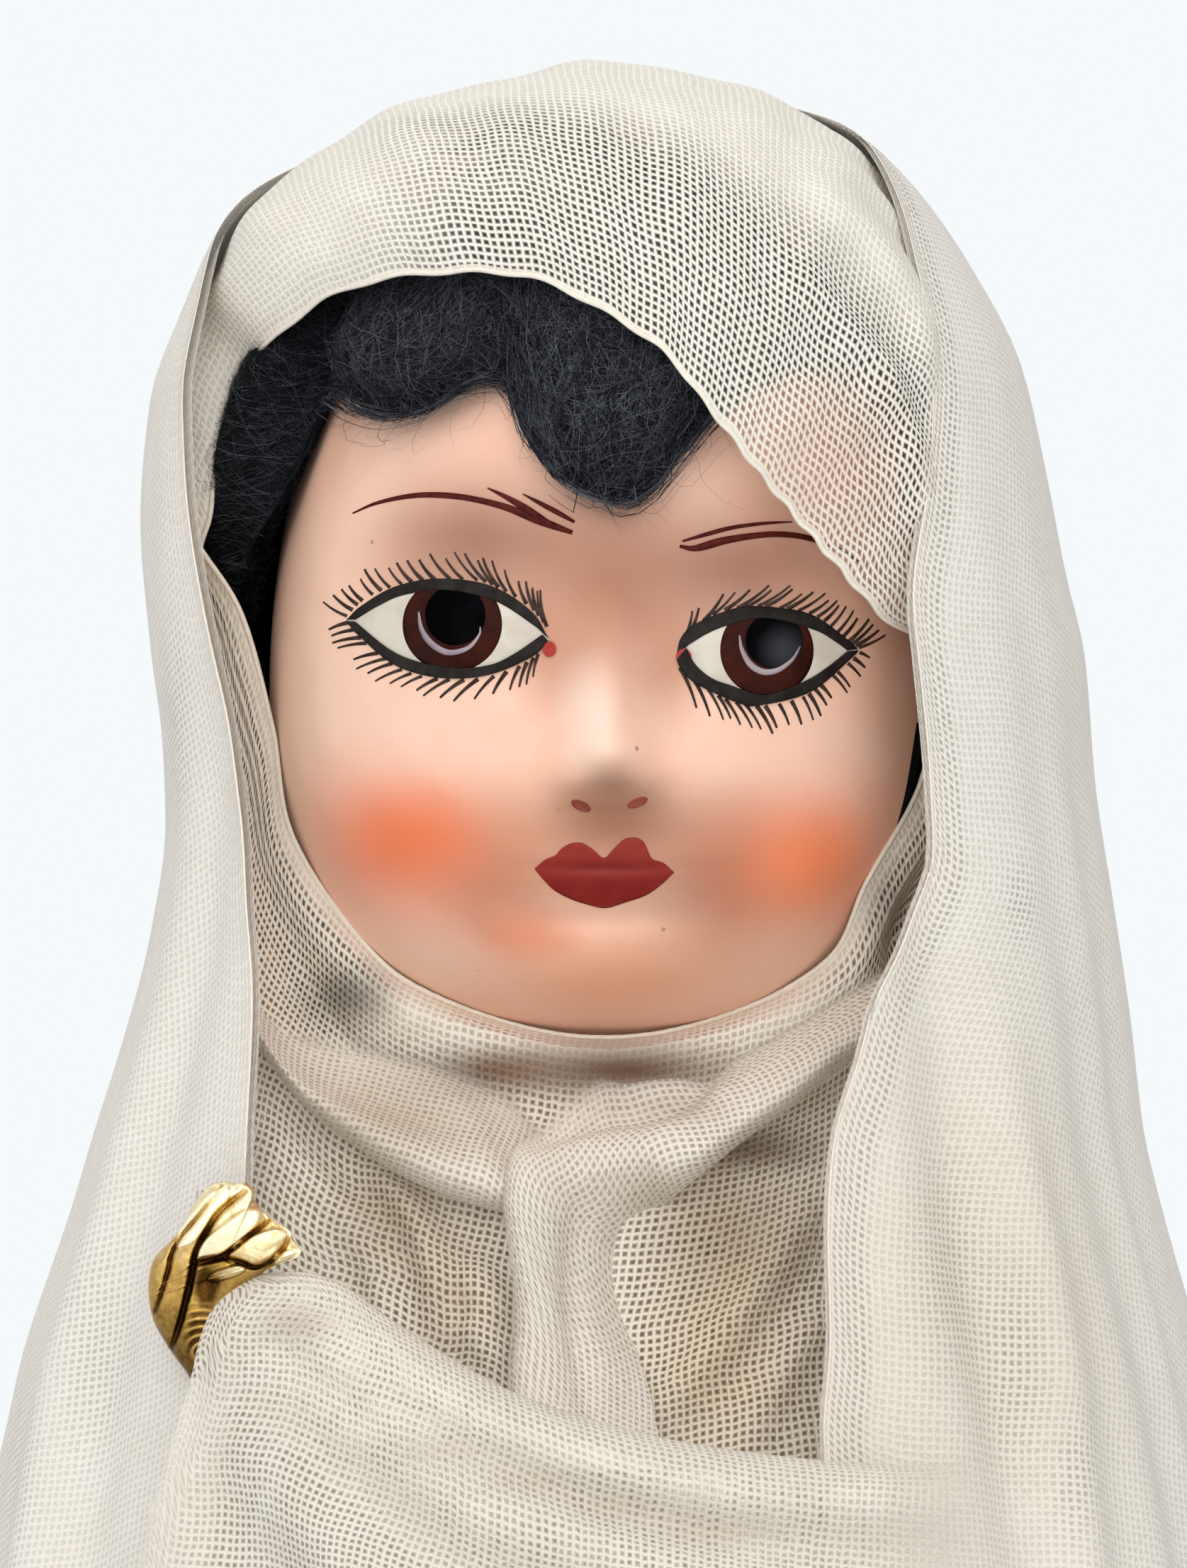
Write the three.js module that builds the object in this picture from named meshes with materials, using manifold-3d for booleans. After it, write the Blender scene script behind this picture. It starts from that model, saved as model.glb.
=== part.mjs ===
// A strung papier-mache costume doll: moulded head, torso and limbs on wire joints, a mohair wig,
// a cotton gown, a gauze veil wrapped round head and shoulders, and a gilt brooch at the right shoulder.
// Millimetres, +Z up. The doll faces -Y, its left side is +X, and the origin is on the floor below its middle.
import * as THREE from "three";
import { mergeVertices } from "three/addons/utils/BufferGeometryUtils.js";
import Module from "manifold-3d";

const wasm = await Module();
wasm.setup();

// Driving dimensions: heights
const HIP_HEIGHT = 164; // floor to the hip wire
const TORSO_LENGTH = 79; // hip wire to the shoulder wire
const COLLAR_RISE = 11; // shoulder wire to the seat of the neck
const NECK_LENGTH = 16; // seat of the neck to the chin
const SKULL_HEIGHT = 41; // widest level of the face to the crown
const GOWN_DROP = 15; // shoulder wire to the gown's top edge
const HEM_HEIGHT = 26; // floor to the gown's hem
const FALL_HEM_HEIGHT = 112; // floor to the ends of the veil's side falls
const BACK_HEM_HEIGHT = 98; // floor to the end of the veil down the back
const SASH_HEM_HEIGHT = 158; // floor to the lower edge of the sash across the chest

// Driving dimensions: head, neck and torso
const JAW_RADIUS = 24.5; // half the width of the face, and the drop from its widest level to the chin
const FACE_DEPTH = 25.5;
const SKULL_DEPTH = 27.5;
const NECK_RADIUS = 9.5;
const SHELL_WALL = 2; // pressed paper of head and torso
const NOSE_HEIGHT = 3.4;
const NOSE_HALF_WIDTH = 3.2;
const CHIN_SWELL = 2.6;
const CHEEK_SWELL = 1.2;
const COLLAR_RADIUS = 11;
const NECK_BORE_RADIUS = 5.2;
const SHOULDER_HALF_WIDTH = 24;
const CHEST_HALF_WIDTH = 22.6;
const WAIST_HALF_WIDTH = 18.5;
const HIP_HALF_WIDTH = 23.4;
const TORSO_DEPTH_RATIO = 0.74;

// Driving dimensions: limbs
const ARM_LENGTH = 92; // shoulder wire to the finger tips
const ARM_RADIUS = 6.6;
const WRIST_RADIUS = 3.4;
const HAND_HALF_WIDTH = 5;
const HAND_HALF_THICKNESS = 3;
const ARM_SPLAY = 0.0875; // sideways run of the arm for each unit of drop
const THIGH_RADIUS = 9;
const KNEE_RADIUS = 6.4;
const CALF_RADIUS = 7;
const ANKLE_RADIUS = 4.7;
const FOOT_LENGTH = 35;
const FOOT_HALF_WIDTH = 6.2;
const FOOT_HEIGHT = 8;
const HEEL_SETBACK = 12; // leg axis to the back of the foot
const SLIPPER_WALL = 1.3;
const SOLE_THICKNESS = 2.2;
const SOLE_MARGIN = 1.2; // how far the sole shows round the slipper

// Driving dimensions: wire joints
const WIRE_RADIUS = 0.8;
const WIRE_HEAD_RADIUS = 1.8;
const WIRE_HEAD_LENGTH = 0.8;
const WASHER_RADIUS = 3.4;
const WASHER_THICKNESS = 0.8;
const HIP_BLOCK_HALF_WIDTH = 5;
const HIP_BLOCK_HALF_DEPTH = 7;
const ELASTIC_RADIUS = 0.7;
const HOOK_WIRE_RADIUS = 0.5;
const HOOK_BEND = 1.75; // radius of the neck hook's bend, to the middle of its wire
const PLUG_HEIGHT = 9;
const STEM_DROP = 4; // how far the plug's stem reaches through the collar

// Driving dimensions: wig, cloth and brooch
const WIG_THICKNESS = 3;
const LOCK_THICKNESS = 4.2;
const WIG_DROP = 0.4; // chin to the lower edge of the bobbed wig
const CLOTH_THICKNESS = 0.8;
const HOOD_SIDE_EASE = 9.6; // veil beyond the face's half width
const HOOD_TOP_EASE = 4.7;
const HOOD_FRONT_EASE = 5.5;
const HOOD_BACK_EASE = 6.5;
const HOOD_FLARE = 2.4; // how far the hood widens again above the shoulders
const CAPE_SHOULDER_EASE = 3.2;
const CAPE_HAND_EASE = 13;
const CAPE_HEM_FLARE = 4;
const CAPE_NECK_DEPTH = 31;
const CAPE_SHOULDER_DEPTH = 33;
const CAPE_HAND_DEPTH = 48;
const CAPE_FOLDS = 18;
const CAPE_FOLD_DEPTH = 2.2;
const SASH_STANDOFF = 4.4; // sash beyond the falls that it crosses
const SASH_FOLD_DEPTH = 1.3;
const GOWN_EASE = 1.5; // gown beyond the torso
const GOWN_HEM_HALF_WIDTH = 54;
const GOWN_HEM_HALF_DEPTH = 50;
const GOWN_FOLDS = 12;
const GOWN_FOLD_DEPTH = 2.4;
const BROOCH_HEIGHT = 13.4;
const BROOCH_WIDTH = 10.6;
const BROOCH_DOME = 2.2;
const BROOCH_THICKNESS = 1.1;
const BROOCH_RIDGES = 5;
const BROOCH_RIDGE_HEIGHT = 0.35;
const PIN_RADIUS = 0.35;

// Clearances
const GAP = 0.3; // between pieces that touch
const WIRE_CLEARANCE = 0.3;
const SWING_GAP = 0.7; // between a limb and what it swings past
const VEIL_SPLIT = 1.7; // chin down to the level where the veil stops turning with the head

// Levels worked out from the heights
const SHOULDER_Z = HIP_HEIGHT + TORSO_LENGTH;
const COLLAR_Z = SHOULDER_Z + COLLAR_RISE;
const CHIN_Z = COLLAR_Z + NECK_LENGTH;
const FACE_Z = CHIN_Z + JAW_RADIUS;
const CROWN_Z = FACE_Z + SKULL_HEIGHT;
const SPLIT_Z = CHIN_Z - VEIL_SPLIT;
const PELVIS_Z = HIP_HEIGHT + THIGH_RADIUS + SWING_GAP;
const GOWN_TOP_Z = SHOULDER_Z - GOWN_DROP;
const ARM_X = SHOULDER_HALF_WIDTH + SWING_GAP + ARM_RADIUS;
const LEG_X = HIP_BLOCK_HALF_WIDTH + SWING_GAP + THIGH_RADIUS;
const HAND_Z = SHOULDER_Z - ARM_LENGTH;

// Numbers of facets
const HEAD_SEGMENTS = 36; // two for each fold of the veil
const SHELL_SEGMENTS = 24;
const LIMB_SEGMENTS = 14;
const WIRE_SEGMENTS = 8;
const BORE_SEGMENTS = 12;

const FAR = 400; // longer than any piece, for cutting tools

const MATERIALS = {
  paint: new THREE.MeshStandardMaterial({ color: "#e6b294", roughness: 0.45 }),
  paper: new THREE.MeshStandardMaterial({ color: "#cdb594", roughness: 0.85 }),
  mohair: new THREE.MeshStandardMaterial({ color: "#17161a", roughness: 0.8 }),
  gauze: new THREE.MeshStandardMaterial({ color: "#e6e0d2", roughness: 0.9 }),
  cotton: new THREE.MeshStandardMaterial({ color: "#e3d6ba", roughness: 0.9 }),
  gilt: new THREE.MeshStandardMaterial({ color: "#c29a45", roughness: 0.35, metalness: 1 }),
  steel: new THREE.MeshStandardMaterial({ color: "#9a9a98", roughness: 0.4, metalness: 1 }),
  wood: new THREE.MeshStandardMaterial({ color: "#b48a5a", roughness: 0.7 }),
  elastic: new THREE.MeshStandardMaterial({ color: "#d8cfbd", roughness: 0.9 }),
  leather: new THREE.MeshStandardMaterial({ color: "#7a3a22", roughness: 0.6 }),
  slipper: new THREE.MeshStandardMaterial({ color: "#8e2424", roughness: 0.5 }),
};

// Solids and meshes

// A closed geometry as a solid for joining and cutting, its faces turned outwards.
function solid(geometry) {
  geometry.deleteAttribute("normal");
  geometry.deleteAttribute("uv");
  const merged = mergeVertices(geometry, 1e-4);
  const corners = merged.index.array;
  const triVerts = new Uint32Array(
    Array.from({ length: corners.length / 3 }, (_, t) => [...corners.slice(3 * t, 3 * t + 3)])
      .filter(([a, b, c]) => a !== b && b !== c && c !== a)
      .flat(),
  );
  const vertProperties = new Float32Array(merged.attributes.position.array);
  const make = () => new wasm.Manifold(new wasm.Mesh({ numProp: 3, vertProperties, triVerts }));
  if (make().volume() > 0) return make();
  for (let i = 0; i < triVerts.length; i += 3) {
    [triVerts[i + 1], triVerts[i + 2]] = [triVerts[i + 2], triVerts[i + 1]];
  }
  return make();
}

function meshOf(name, made, material) {
  const { numProp, vertProperties, triVerts } = made.getMesh();
  const points = vertProperties.filter((_, i) => i % numProp < 3);
  const geometry = new THREE.BufferGeometry();
  geometry.setAttribute("position", new THREE.BufferAttribute(new Float32Array(points), 3));
  geometry.setIndex(new THREE.BufferAttribute(new Uint32Array(triVerts), 1));
  geometry.computeVertexNormals();
  const mesh = new THREE.Mesh(geometry, material);
  mesh.name = name;
  return mesh;
}

// Moves every vertex of a geometry by a function of its place.
function deform(geometry, move) {
  const place = geometry.attributes.position;
  const p = new THREE.Vector3();
  for (let i = 0; i < place.count; i++) {
    p.fromBufferAttribute(place, i);
    move(p);
    place.setXYZ(i, p.x, p.y, p.z);
  }
  return geometry;
}

// A solid turned about +Z from [radius, height] pairs. Segments start at the front.
function turned(profile, segments) {
  const points = profile.map(([r, z]) => new THREE.Vector2(r, z));
  return new THREE.LatheGeometry(points, segments).rotateX(Math.PI / 2);
}

// A ring turned from a closed profile.
function turnedRing(profile, segments) {
  return turned([...profile, profile[0]], segments);
}

function box(low, high) {
  const size = high.map((h, k) => h - low[k]);
  const middle = high.map((h, k) => (h + low[k]) / 2);
  return solid(new THREE.BoxGeometry(...size).translate(...middle));
}

// A bar along X through (y, z).
function barX(radius, from, to, y, z, segments) {
  const bar = new THREE.CylinderGeometry(radius, radius, to - from, segments).rotateZ(Math.PI / 2);
  return solid(bar.translate((from + to) / 2, y, z));
}

// A front outline of [x, z] pairs carried along Y as a solid.
function prism(outline, from, to) {
  const shape = new THREE.Shape(outline.map(([x, z]) => new THREE.Vector2(x, z)));
  const cut = new THREE.ExtrudeGeometry(shape, { depth: to - from, bevelEnabled: false });
  return solid(cut.rotateX(Math.PI / 2).translate(0, to, 0));
}

// Cloth of even thickness: outer(u, v) and inner(u, v) give its two faces for u, v from 0 to 1.
function sheet(columns, rows, outer, inner) {
  const points = [];
  const index = [];
  const side = (columns + 1) * (rows + 1);
  const at = (face, i, j) => face * side + j * (columns + 1) + i;
  const quad = (a, b, c, d) => index.push(a, b, c, a, c, d);
  for (const face of [outer, inner]) {
    for (let j = 0; j <= rows; j++) {
      for (let i = 0; i <= columns; i++) points.push(...face(i / columns, j / rows));
    }
  }
  for (let j = 0; j < rows; j++) {
    for (let i = 0; i < columns; i++) {
      quad(at(0, i, j), at(0, i + 1, j), at(0, i + 1, j + 1), at(0, i, j + 1));
      quad(at(1, i, j), at(1, i, j + 1), at(1, i + 1, j + 1), at(1, i + 1, j));
    }
  }
  for (let i = 0; i < columns; i++) {
    quad(at(0, i + 1, 0), at(0, i, 0), at(1, i, 0), at(1, i + 1, 0));
    quad(at(0, i, rows), at(0, i + 1, rows), at(1, i + 1, rows), at(1, i, rows));
  }
  for (let j = 0; j < rows; j++) {
    quad(at(0, 0, j), at(0, 0, j + 1), at(1, 0, j + 1), at(1, 0, j));
    quad(at(0, columns, j + 1), at(0, columns, j), at(1, columns, j), at(1, columns, j + 1));
  }
  const geometry = new THREE.BufferGeometry();
  geometry.setAttribute("position", new THREE.Float32BufferAttribute(points, 3));
  geometry.setIndex(index);
  return solid(geometry);
}

// A value between stations [[z, value], ...] listed from the top down, straight from one to the next.
function between(stations, z) {
  const below = stations.findIndex(([level]) => level <= z);
  if (below === 0) return stations[0][1];
  if (below < 0) return stations[stations.length - 1][1];
  const [[top, a], [bottom, b]] = [stations[below - 1], stations[below]];
  return a + ((b - a) * (top - z)) / (top - bottom);
}

const bump = (x, half) => Math.exp(-((x / half) ** 2));

// Head and neck

// The height at which the neck of a head grown by some distance runs into its jaw.
const neckTop = (grow) =>
  FACE_Z - Math.sqrt((JAW_RADIUS + grow) ** 2 - (NECK_RADIUS + grow) ** 2);

// Nose, chin and cheeks stand out from the egg of the face.
function faceRelief(p) {
  if (p.y > 0) return;
  const drop = FACE_Z - p.z;
  const noseLength = drop < NOSE_DROP ? NOSE_BRIDGE : NOSE_UNDERSIDE;
  p.y -= NOSE_HEIGHT * bump(p.x, NOSE_HALF_WIDTH) * bump(drop - NOSE_DROP, noseLength);
  p.y -= CHIN_SWELL * bump(p.x, JAW_RADIUS * 0.4) * bump(drop - JAW_RADIUS * 0.78, JAW_RADIUS * 0.22);
  for (const cheek of [-1, 1]) {
    const side = p.x - cheek * JAW_RADIUS * 0.52;
    p.y -= CHEEK_SWELL * bump(side, JAW_RADIUS * 0.3) * bump(drop - JAW_RADIUS * 0.35, JAW_RADIUS * 0.3);
  }
}
const NOSE_DROP = 2.6; // widest level of the face to the tip of the nose
const NOSE_BRIDGE = 5.5;
const NOSE_UNDERSIDE = 2.2;

// The head's outside grown by some distance, closed below at a given height.
function headSolid(grow, bottom, segments, withFace) {
  const [jaw, neck] = [JAW_RADIUS + grow, NECK_RADIUS + grow];
  const start = Math.asin((FACE_Z - neckTop(grow)) / jaw);
  const profile = [[0, bottom], [neck, bottom]];
  const [jawSteps, skullSteps] = [7, 9];
  for (let i = 0; i <= jawSteps; i++) {
    const angle = start * (1 - i / jawSteps);
    profile.push([jaw * Math.cos(angle), FACE_Z - jaw * Math.sin(angle)]);
  }
  for (let i = 1; i <= skullSteps; i++) {
    const angle = (Math.PI / 2) * (i / skullSteps);
    const radius = i < skullSteps ? jaw * Math.cos(angle) : 0;
    profile.push([radius, FACE_Z + (SKULL_HEIGHT + grow) * Math.sin(angle)]);
  }
  return solid(
    deform(turned(profile, segments), (p) => {
      p.y *= (p.y < 0 ? FACE_DEPTH : SKULL_DEPTH) / JAW_RADIUS;
      if (withFace) faceRelief(p);
    }),
  );
}

const inFront = (y) => box([-FAR, -FAR, -FAR], [FAR, y, FAR]);
const behind = (y) => box([-FAR, y, -FAR], [FAR, FAR, FAR]);
const above = (z) => box([-FAR, -FAR, z], [FAR, FAR, FAR]);

const NECK_SEAT_Z = COLLAR_Z + GAP + WASHER_THICKNESS + GAP;

function headShells() {
  const outside = headSolid(0, NECK_SEAT_Z, HEAD_SEGMENTS, true);
  const hollow = headSolid(-SHELL_WALL, NECK_SEAT_Z - 1, SHELL_SEGMENTS, false);
  const shell = outside.subtract(hollow);
  return [
    meshOf("face_shell", shell.intersect(inFront(-GAP / 2)), MATERIALS.paint),
    meshOf("head_back_shell", shell.intersect(behind(GAP / 2)), MATERIALS.paint),
  ];
}

// A turned wooden plug, glued in the neck, with a stem through the collar.
function neckPlug() {
  const radius = NECK_RADIUS - SHELL_WALL - GAP;
  const stem = NECK_BORE_RADIUS - GAP;
  const foot = COLLAR_Z - STEM_DROP;
  const seat = NECK_SEAT_Z + GAP;
  const profile = [
    [0, foot],
    [stem, foot],
    [stem, seat],
    [radius, seat],
    [radius, seat + PLUG_HEIGHT],
    [0, seat + PLUG_HEIGHT],
  ];
  return meshOf("neck_plug", solid(turned(profile, SHELL_SEGMENTS)), MATERIALS.wood);
}

// Wire hook under the plug. The elastic's loop hangs in its bend.
const HOOK_EYE_Z = COLLAR_Z - STEM_DROP - GAP - HOOK_BEND - 1;
function neckHook() {
  const shankTop = COLLAR_Z - STEM_DROP - GAP;
  const bendSteps = 8;
  const points = [new THREE.Vector3(-HOOK_BEND, 0, shankTop)];
  for (let i = 0; i <= bendSteps; i++) {
    const angle = Math.PI + (Math.PI * i) / bendSteps;
    points.push(
      new THREE.Vector3(HOOK_BEND * Math.cos(angle), 0, HOOK_EYE_Z + HOOK_BEND * Math.sin(angle)),
    );
  }
  points.push(new THREE.Vector3(HOOK_BEND, 0, HOOK_EYE_Z + 1));
  const section = new THREE.Shape().absarc(0, 0, HOOK_WIRE_RADIUS, 0, 2 * Math.PI);
  const wire = new THREE.ExtrudeGeometry(section, {
    steps: points.length,
    curveSegments: 3,
    extrudePath: new THREE.CatmullRomCurve3(points),
  });
  return meshOf("neck_hook", solid(wire), MATERIALS.steel);
}

// Elastic loop from the neck hook down round the shoulder wire.
function neckElastic() {
  const top = HOOK_EYE_Z - HOOK_BEND + HOOK_WIRE_RADIUS + GAP + ELASTIC_RADIUS;
  const bottom = SHOULDER_Z - WIRE_RADIUS - GAP - ELASTIC_RADIUS;
  const halfWidth = WIRE_RADIUS + GAP + ELASTIC_RADIUS + GAP;
  const stretch = (top - bottom) / 2 - halfWidth;
  const loop = new THREE.TorusGeometry(halfWidth, ELASTIC_RADIUS, WIRE_SEGMENTS, BORE_SEGMENTS + 4);
  deform(loop.rotateY(Math.PI / 2), (p) => {
    const rise = Math.abs(p.z) < 1e-6 ? 0 : Math.sign(p.z);
    p.z += rise * stretch + (top + bottom) / 2;
  });
  return meshOf("neck_elastic", solid(loop), MATERIALS.elastic);
}

// Leather washer on which the neck turns.
function neckWasher() {
  const [low, high] = [COLLAR_Z + GAP, COLLAR_Z + GAP + WASHER_THICKNESS];
  const profile = [
    [NECK_BORE_RADIUS, low],
    [NECK_RADIUS, low],
    [NECK_RADIUS, high],
    [NECK_BORE_RADIUS, high],
  ];
  return meshOf("neck_washer", solid(turnedRing(profile, SHELL_SEGMENTS)), MATERIALS.leather);
}

// Wig

// Front outlines of the locks, [x, height above the face's widest level], drawn for this face radius.
const OUTLINE_RADIUS = 24.5;
const HAIRLINE_BACK = 4; // the locks end this far in front of the head's seam, and the cap begins
const LOCKS = {
  temple_lock_right: [
    [-19.3, 22.4], [-20.4, 17.8], [-22, 13.4], [-23.7, 9], [-24.4, 4.5], [-24.7, 0],
    [-31, 0], [-31, 27], [-21, 31.6], [-19.3, 31.6],
  ],
  fringe_lock_right: [
    [-18.9, 22.4], [-15.2, 20.6], [-12.7, 20.3], [-9.7, 21.7], [-7.1, 22.7], [-7.1, 31.6], [-18.9, 31.6],
  ],
  fringe_lock_centre: [
    [-6.7, 22.7], [-5.3, 19.5], [-3, 16.1], [-0.3, 13.4], [1.4, 12.8], [3, 13.7], [5.3, 16.7],
    [7.2, 19.5], [9.6, 22.7], [9.6, 31.6], [-6.7, 31.6],
  ],
  fringe_lock_left: [[10, 22.7], [14.5, 23.9], [18.9, 22], [18.9, 31.6], [10, 31.6]],
  temple_lock_left: [
    [19.3, 22], [21.6, 16.5], [22.6, 9.5], [22.5, 1.5], [21.8, -6.5],
    [31, -6.5], [31, 27], [21, 31.6], [19.3, 31.6],
  ],
};
const LOCK_TOP = 31.6;

const onFace = ([x, rise]) => [
  (x * JAW_RADIUS) / OUTLINE_RADIUS,
  FACE_Z + (rise * JAW_RADIUS) / OUTLINE_RADIUS,
];

function wig() {
  const bottom = CHIN_Z - WIG_DROP;
  const head = headSolid(GAP, NECK_SEAT_Z - 1, HEAD_SEGMENTS, false);
  const hair = (thickness) =>
    headSolid(GAP + thickness, NECK_SEAT_Z - 1, HEAD_SEGMENTS, false).subtract(head);
  const [, capFront] = onFace([0, LOCK_TOP]);
  const faceSide = box([-FAR, -FAR, -FAR], [FAR, -HAIRLINE_BACK + GAP, capFront + GAP]);
  const cap = hair(WIG_THICKNESS).intersect(above(bottom)).subtract(faceSide);
  const front = hair(LOCK_THICKNESS).intersect(inFront(-HAIRLINE_BACK));
  const locks = Object.entries(LOCKS).map(([name, outline]) => {
    const lock = front.intersect(prism(outline.map(onFace), -FAR, 0));
    return meshOf(name, lock, MATERIALS.mohair);
  });
  return [meshOf("wig_cap", cap, MATERIALS.mohair), ...locks];
}

// Torso

function torsoSolid(inset, segments) {
  const chest = SHOULDER_Z - TORSO_LENGTH * 0.24;
  const waist = SHOULDER_Z - TORSO_LENGTH * 0.55;
  const hip = PELVIS_Z + (waist - PELVIS_Z) * 0.3;
  const profile = [
    [0, PELVIS_Z + inset],
    [HIP_HALF_WIDTH - 2 - inset, PELVIS_Z + inset],
    [HIP_HALF_WIDTH - inset, hip],
    [WAIST_HALF_WIDTH - inset, waist],
    [CHEST_HALF_WIDTH - inset, chest],
    [SHOULDER_HALF_WIDTH - inset, SHOULDER_Z],
    [SHOULDER_HALF_WIDTH * 0.82 - inset, SHOULDER_Z + COLLAR_RISE * 0.6 - inset],
    [COLLAR_RADIUS, COLLAR_Z - inset],
    [0, COLLAR_Z - inset],
  ];
  return solid(deform(turned(profile, segments), (p) => (p.y *= TORSO_DEPTH_RATIO)));
}

function torsoShells() {
  const bore = turned([[0, SHOULDER_Z], [NECK_BORE_RADIUS, SHOULDER_Z],
    [NECK_BORE_RADIUS, CHIN_Z], [0, CHIN_Z]], SHELL_SEGMENTS);
  const wireWay = barX(WIRE_RADIUS + WIRE_CLEARANCE, -ARM_X, ARM_X, 0, SHOULDER_Z, BORE_SEGMENTS);
  const shell = torsoSolid(0, SHELL_SEGMENTS)
    .subtract(torsoSolid(SHELL_WALL, SHELL_SEGMENTS))
    .subtract(solid(bore))
    .subtract(wireWay);
  return [
    meshOf("torso_front_shell", shell.intersect(inFront(-GAP / 2)), MATERIALS.paper),
    meshOf("torso_back_shell", shell.intersect(behind(GAP / 2)), MATERIALS.paper),
  ];
}

// Wooden block glued under the pelvis. The hip wire runs through it.
function hipBlock() {
  const block = box(
    [-HIP_BLOCK_HALF_WIDTH, -HIP_BLOCK_HALF_DEPTH, HIP_HEIGHT - THIGH_RADIUS],
    [HIP_BLOCK_HALF_WIDTH, HIP_BLOCK_HALF_DEPTH, PELVIS_Z - GAP],
  );
  const way = barX(WIRE_RADIUS + WIRE_CLEARANCE, -LEG_X, LEG_X, 0, HIP_HEIGHT, BORE_SEGMENTS);
  return meshOf("hip_block", block.subtract(way), MATERIALS.wood);
}

// A straight wire along X with a head at each end.
function jointWire(name, seat, z) {
  const end = seat + WASHER_THICKNESS + 2 * GAP;
  const wire = barX(WIRE_RADIUS, -end - 0.1, end + 0.1, 0, z, WIRE_SEGMENTS);
  const heads = [-1, 1].map((side) => {
    const [from, to] = [end, end + WIRE_HEAD_LENGTH].map((x) => side * x).sort((a, b) => a - b);
    return barX(WIRE_HEAD_RADIUS, from, to, 0, z, BORE_SEGMENTS);
  });
  return meshOf(name, heads.reduce((made, head) => made.add(head), wire), MATERIALS.steel);
}

// Leather washer between a limb and its wire's head.
function wireWasher(name, side, seat, z) {
  const [from, to] = [seat + GAP, seat + GAP + WASHER_THICKNESS];
  const profile = [
    [WIRE_RADIUS + WIRE_CLEARANCE, from],
    [WASHER_RADIUS, from],
    [WASHER_RADIUS, to],
    [WIRE_RADIUS + WIRE_CLEARANCE, to],
  ];
  const ring = turnedRing(profile, BORE_SEGMENTS).rotateY((side * Math.PI) / 2);
  return meshOf(name, solid(ring.translate(0, 0, z)), MATERIALS.leather);
}

// Limbs

const ARM_SEAT = ARM_X + ARM_RADIUS;
const LEG_SEAT = LEG_X + THIGH_RADIUS;

// An arm with its mitten of a hand, hanging from the shoulder wire and splayed to clear the gown.
function arm(name, side) {
  const palmZ = HAND_Z + HAND_HALF_WIDTH * 1.8;
  const wristZ = palmZ + HAND_HALF_WIDTH * 2;
  const elbowZ = (SHOULDER_Z + wristZ) / 2;
  const profile = [
    [0, HAND_Z],
    [HAND_HALF_WIDTH * 0.7, HAND_Z + HAND_HALF_WIDTH * 0.45],
    [HAND_HALF_WIDTH, palmZ],
    [WRIST_RADIUS, wristZ],
    [(ARM_RADIUS + WRIST_RADIUS) / 2, (wristZ + elbowZ) / 2],
    [ARM_RADIUS * 0.76, elbowZ],
    [ARM_RADIUS, SHOULDER_Z - ARM_RADIUS],
    [ARM_RADIUS, SHOULDER_Z],
    [ARM_RADIUS * 0.75, SHOULDER_Z + ARM_RADIUS * 0.66],
    [0, SHOULDER_Z + ARM_RADIUS],
  ];
  const flat = HAND_HALF_THICKNESS / HAND_HALF_WIDTH;
  const limb = deform(turned(profile, LIMB_SEGMENTS), (p) => {
    const toWrist = THREE.MathUtils.clamp((p.z - palmZ) / (wristZ - palmZ), 0, 1);
    p.x = p.x * THREE.MathUtils.lerp(flat, 1, toWrist) + ARM_SPLAY * Math.max(0, SHOULDER_Z - p.z);
    p.x = side * (p.x + ARM_X);
  });
  const thumb = new THREE.SphereGeometry(1, 8, 6);
  thumb.scale(HAND_HALF_THICKNESS * 0.6, HAND_HALF_THICKNESS * 0.7, HAND_HALF_WIDTH * 0.9);
  thumb.translate(side * (ARM_X + ARM_SPLAY * (SHOULDER_Z - palmZ)), -HAND_HALF_WIDTH, palmZ + HAND_HALF_WIDTH * 0.4);
  const way = barX(WIRE_RADIUS + WIRE_CLEARANCE, -FAR, FAR, 0, SHOULDER_Z, BORE_SEGMENTS);
  return meshOf(name, solid(limb).add(solid(thumb)).subtract(way), MATERIALS.paint);
}

const FOOT_MIDDLE_Y = HEEL_SETBACK - FOOT_LENGTH / 2;
const FOOT_BOTTOM_Z = SOLE_THICKNESS + GAP;

// An egg round the foot grown by some distance, cut flat below.
function footSolid(side, grow, bottom) {
  const egg = new THREE.SphereGeometry(1, LIMB_SEGMENTS, 8).rotateX(Math.PI / 2);
  egg.scale(FOOT_HALF_WIDTH + grow, FOOT_LENGTH / 2 + grow, FOOT_HEIGHT + grow);
  egg.translate(side * LEG_X, FOOT_MIDDLE_Y, FOOT_BOTTOM_Z + FOOT_HEIGHT * 0.25);
  return solid(egg).intersect(above(bottom));
}

function legProfile(grow) {
  const knee = HIP_HEIGHT * 0.5;
  const ankle = FOOT_BOTTOM_Z + FOOT_HEIGHT;
  return [
    [0, FOOT_BOTTOM_Z + FOOT_HEIGHT * 0.5],
    [ANKLE_RADIUS + grow, FOOT_BOTTOM_Z + FOOT_HEIGHT * 0.5],
    [ANKLE_RADIUS + grow, ankle + FOOT_HEIGHT],
    [CALF_RADIUS + grow, knee * 0.72],
    [KNEE_RADIUS + grow, knee],
    [(KNEE_RADIUS + THIGH_RADIUS) / 2 + grow, (knee + HIP_HEIGHT) / 2],
    [THIGH_RADIUS + grow, HIP_HEIGHT - THIGH_RADIUS],
    [THIGH_RADIUS + grow, HIP_HEIGHT],
    [THIGH_RADIUS * 0.75, HIP_HEIGHT + THIGH_RADIUS * 0.66],
    [0, HIP_HEIGHT + THIGH_RADIUS],
  ];
}

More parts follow.
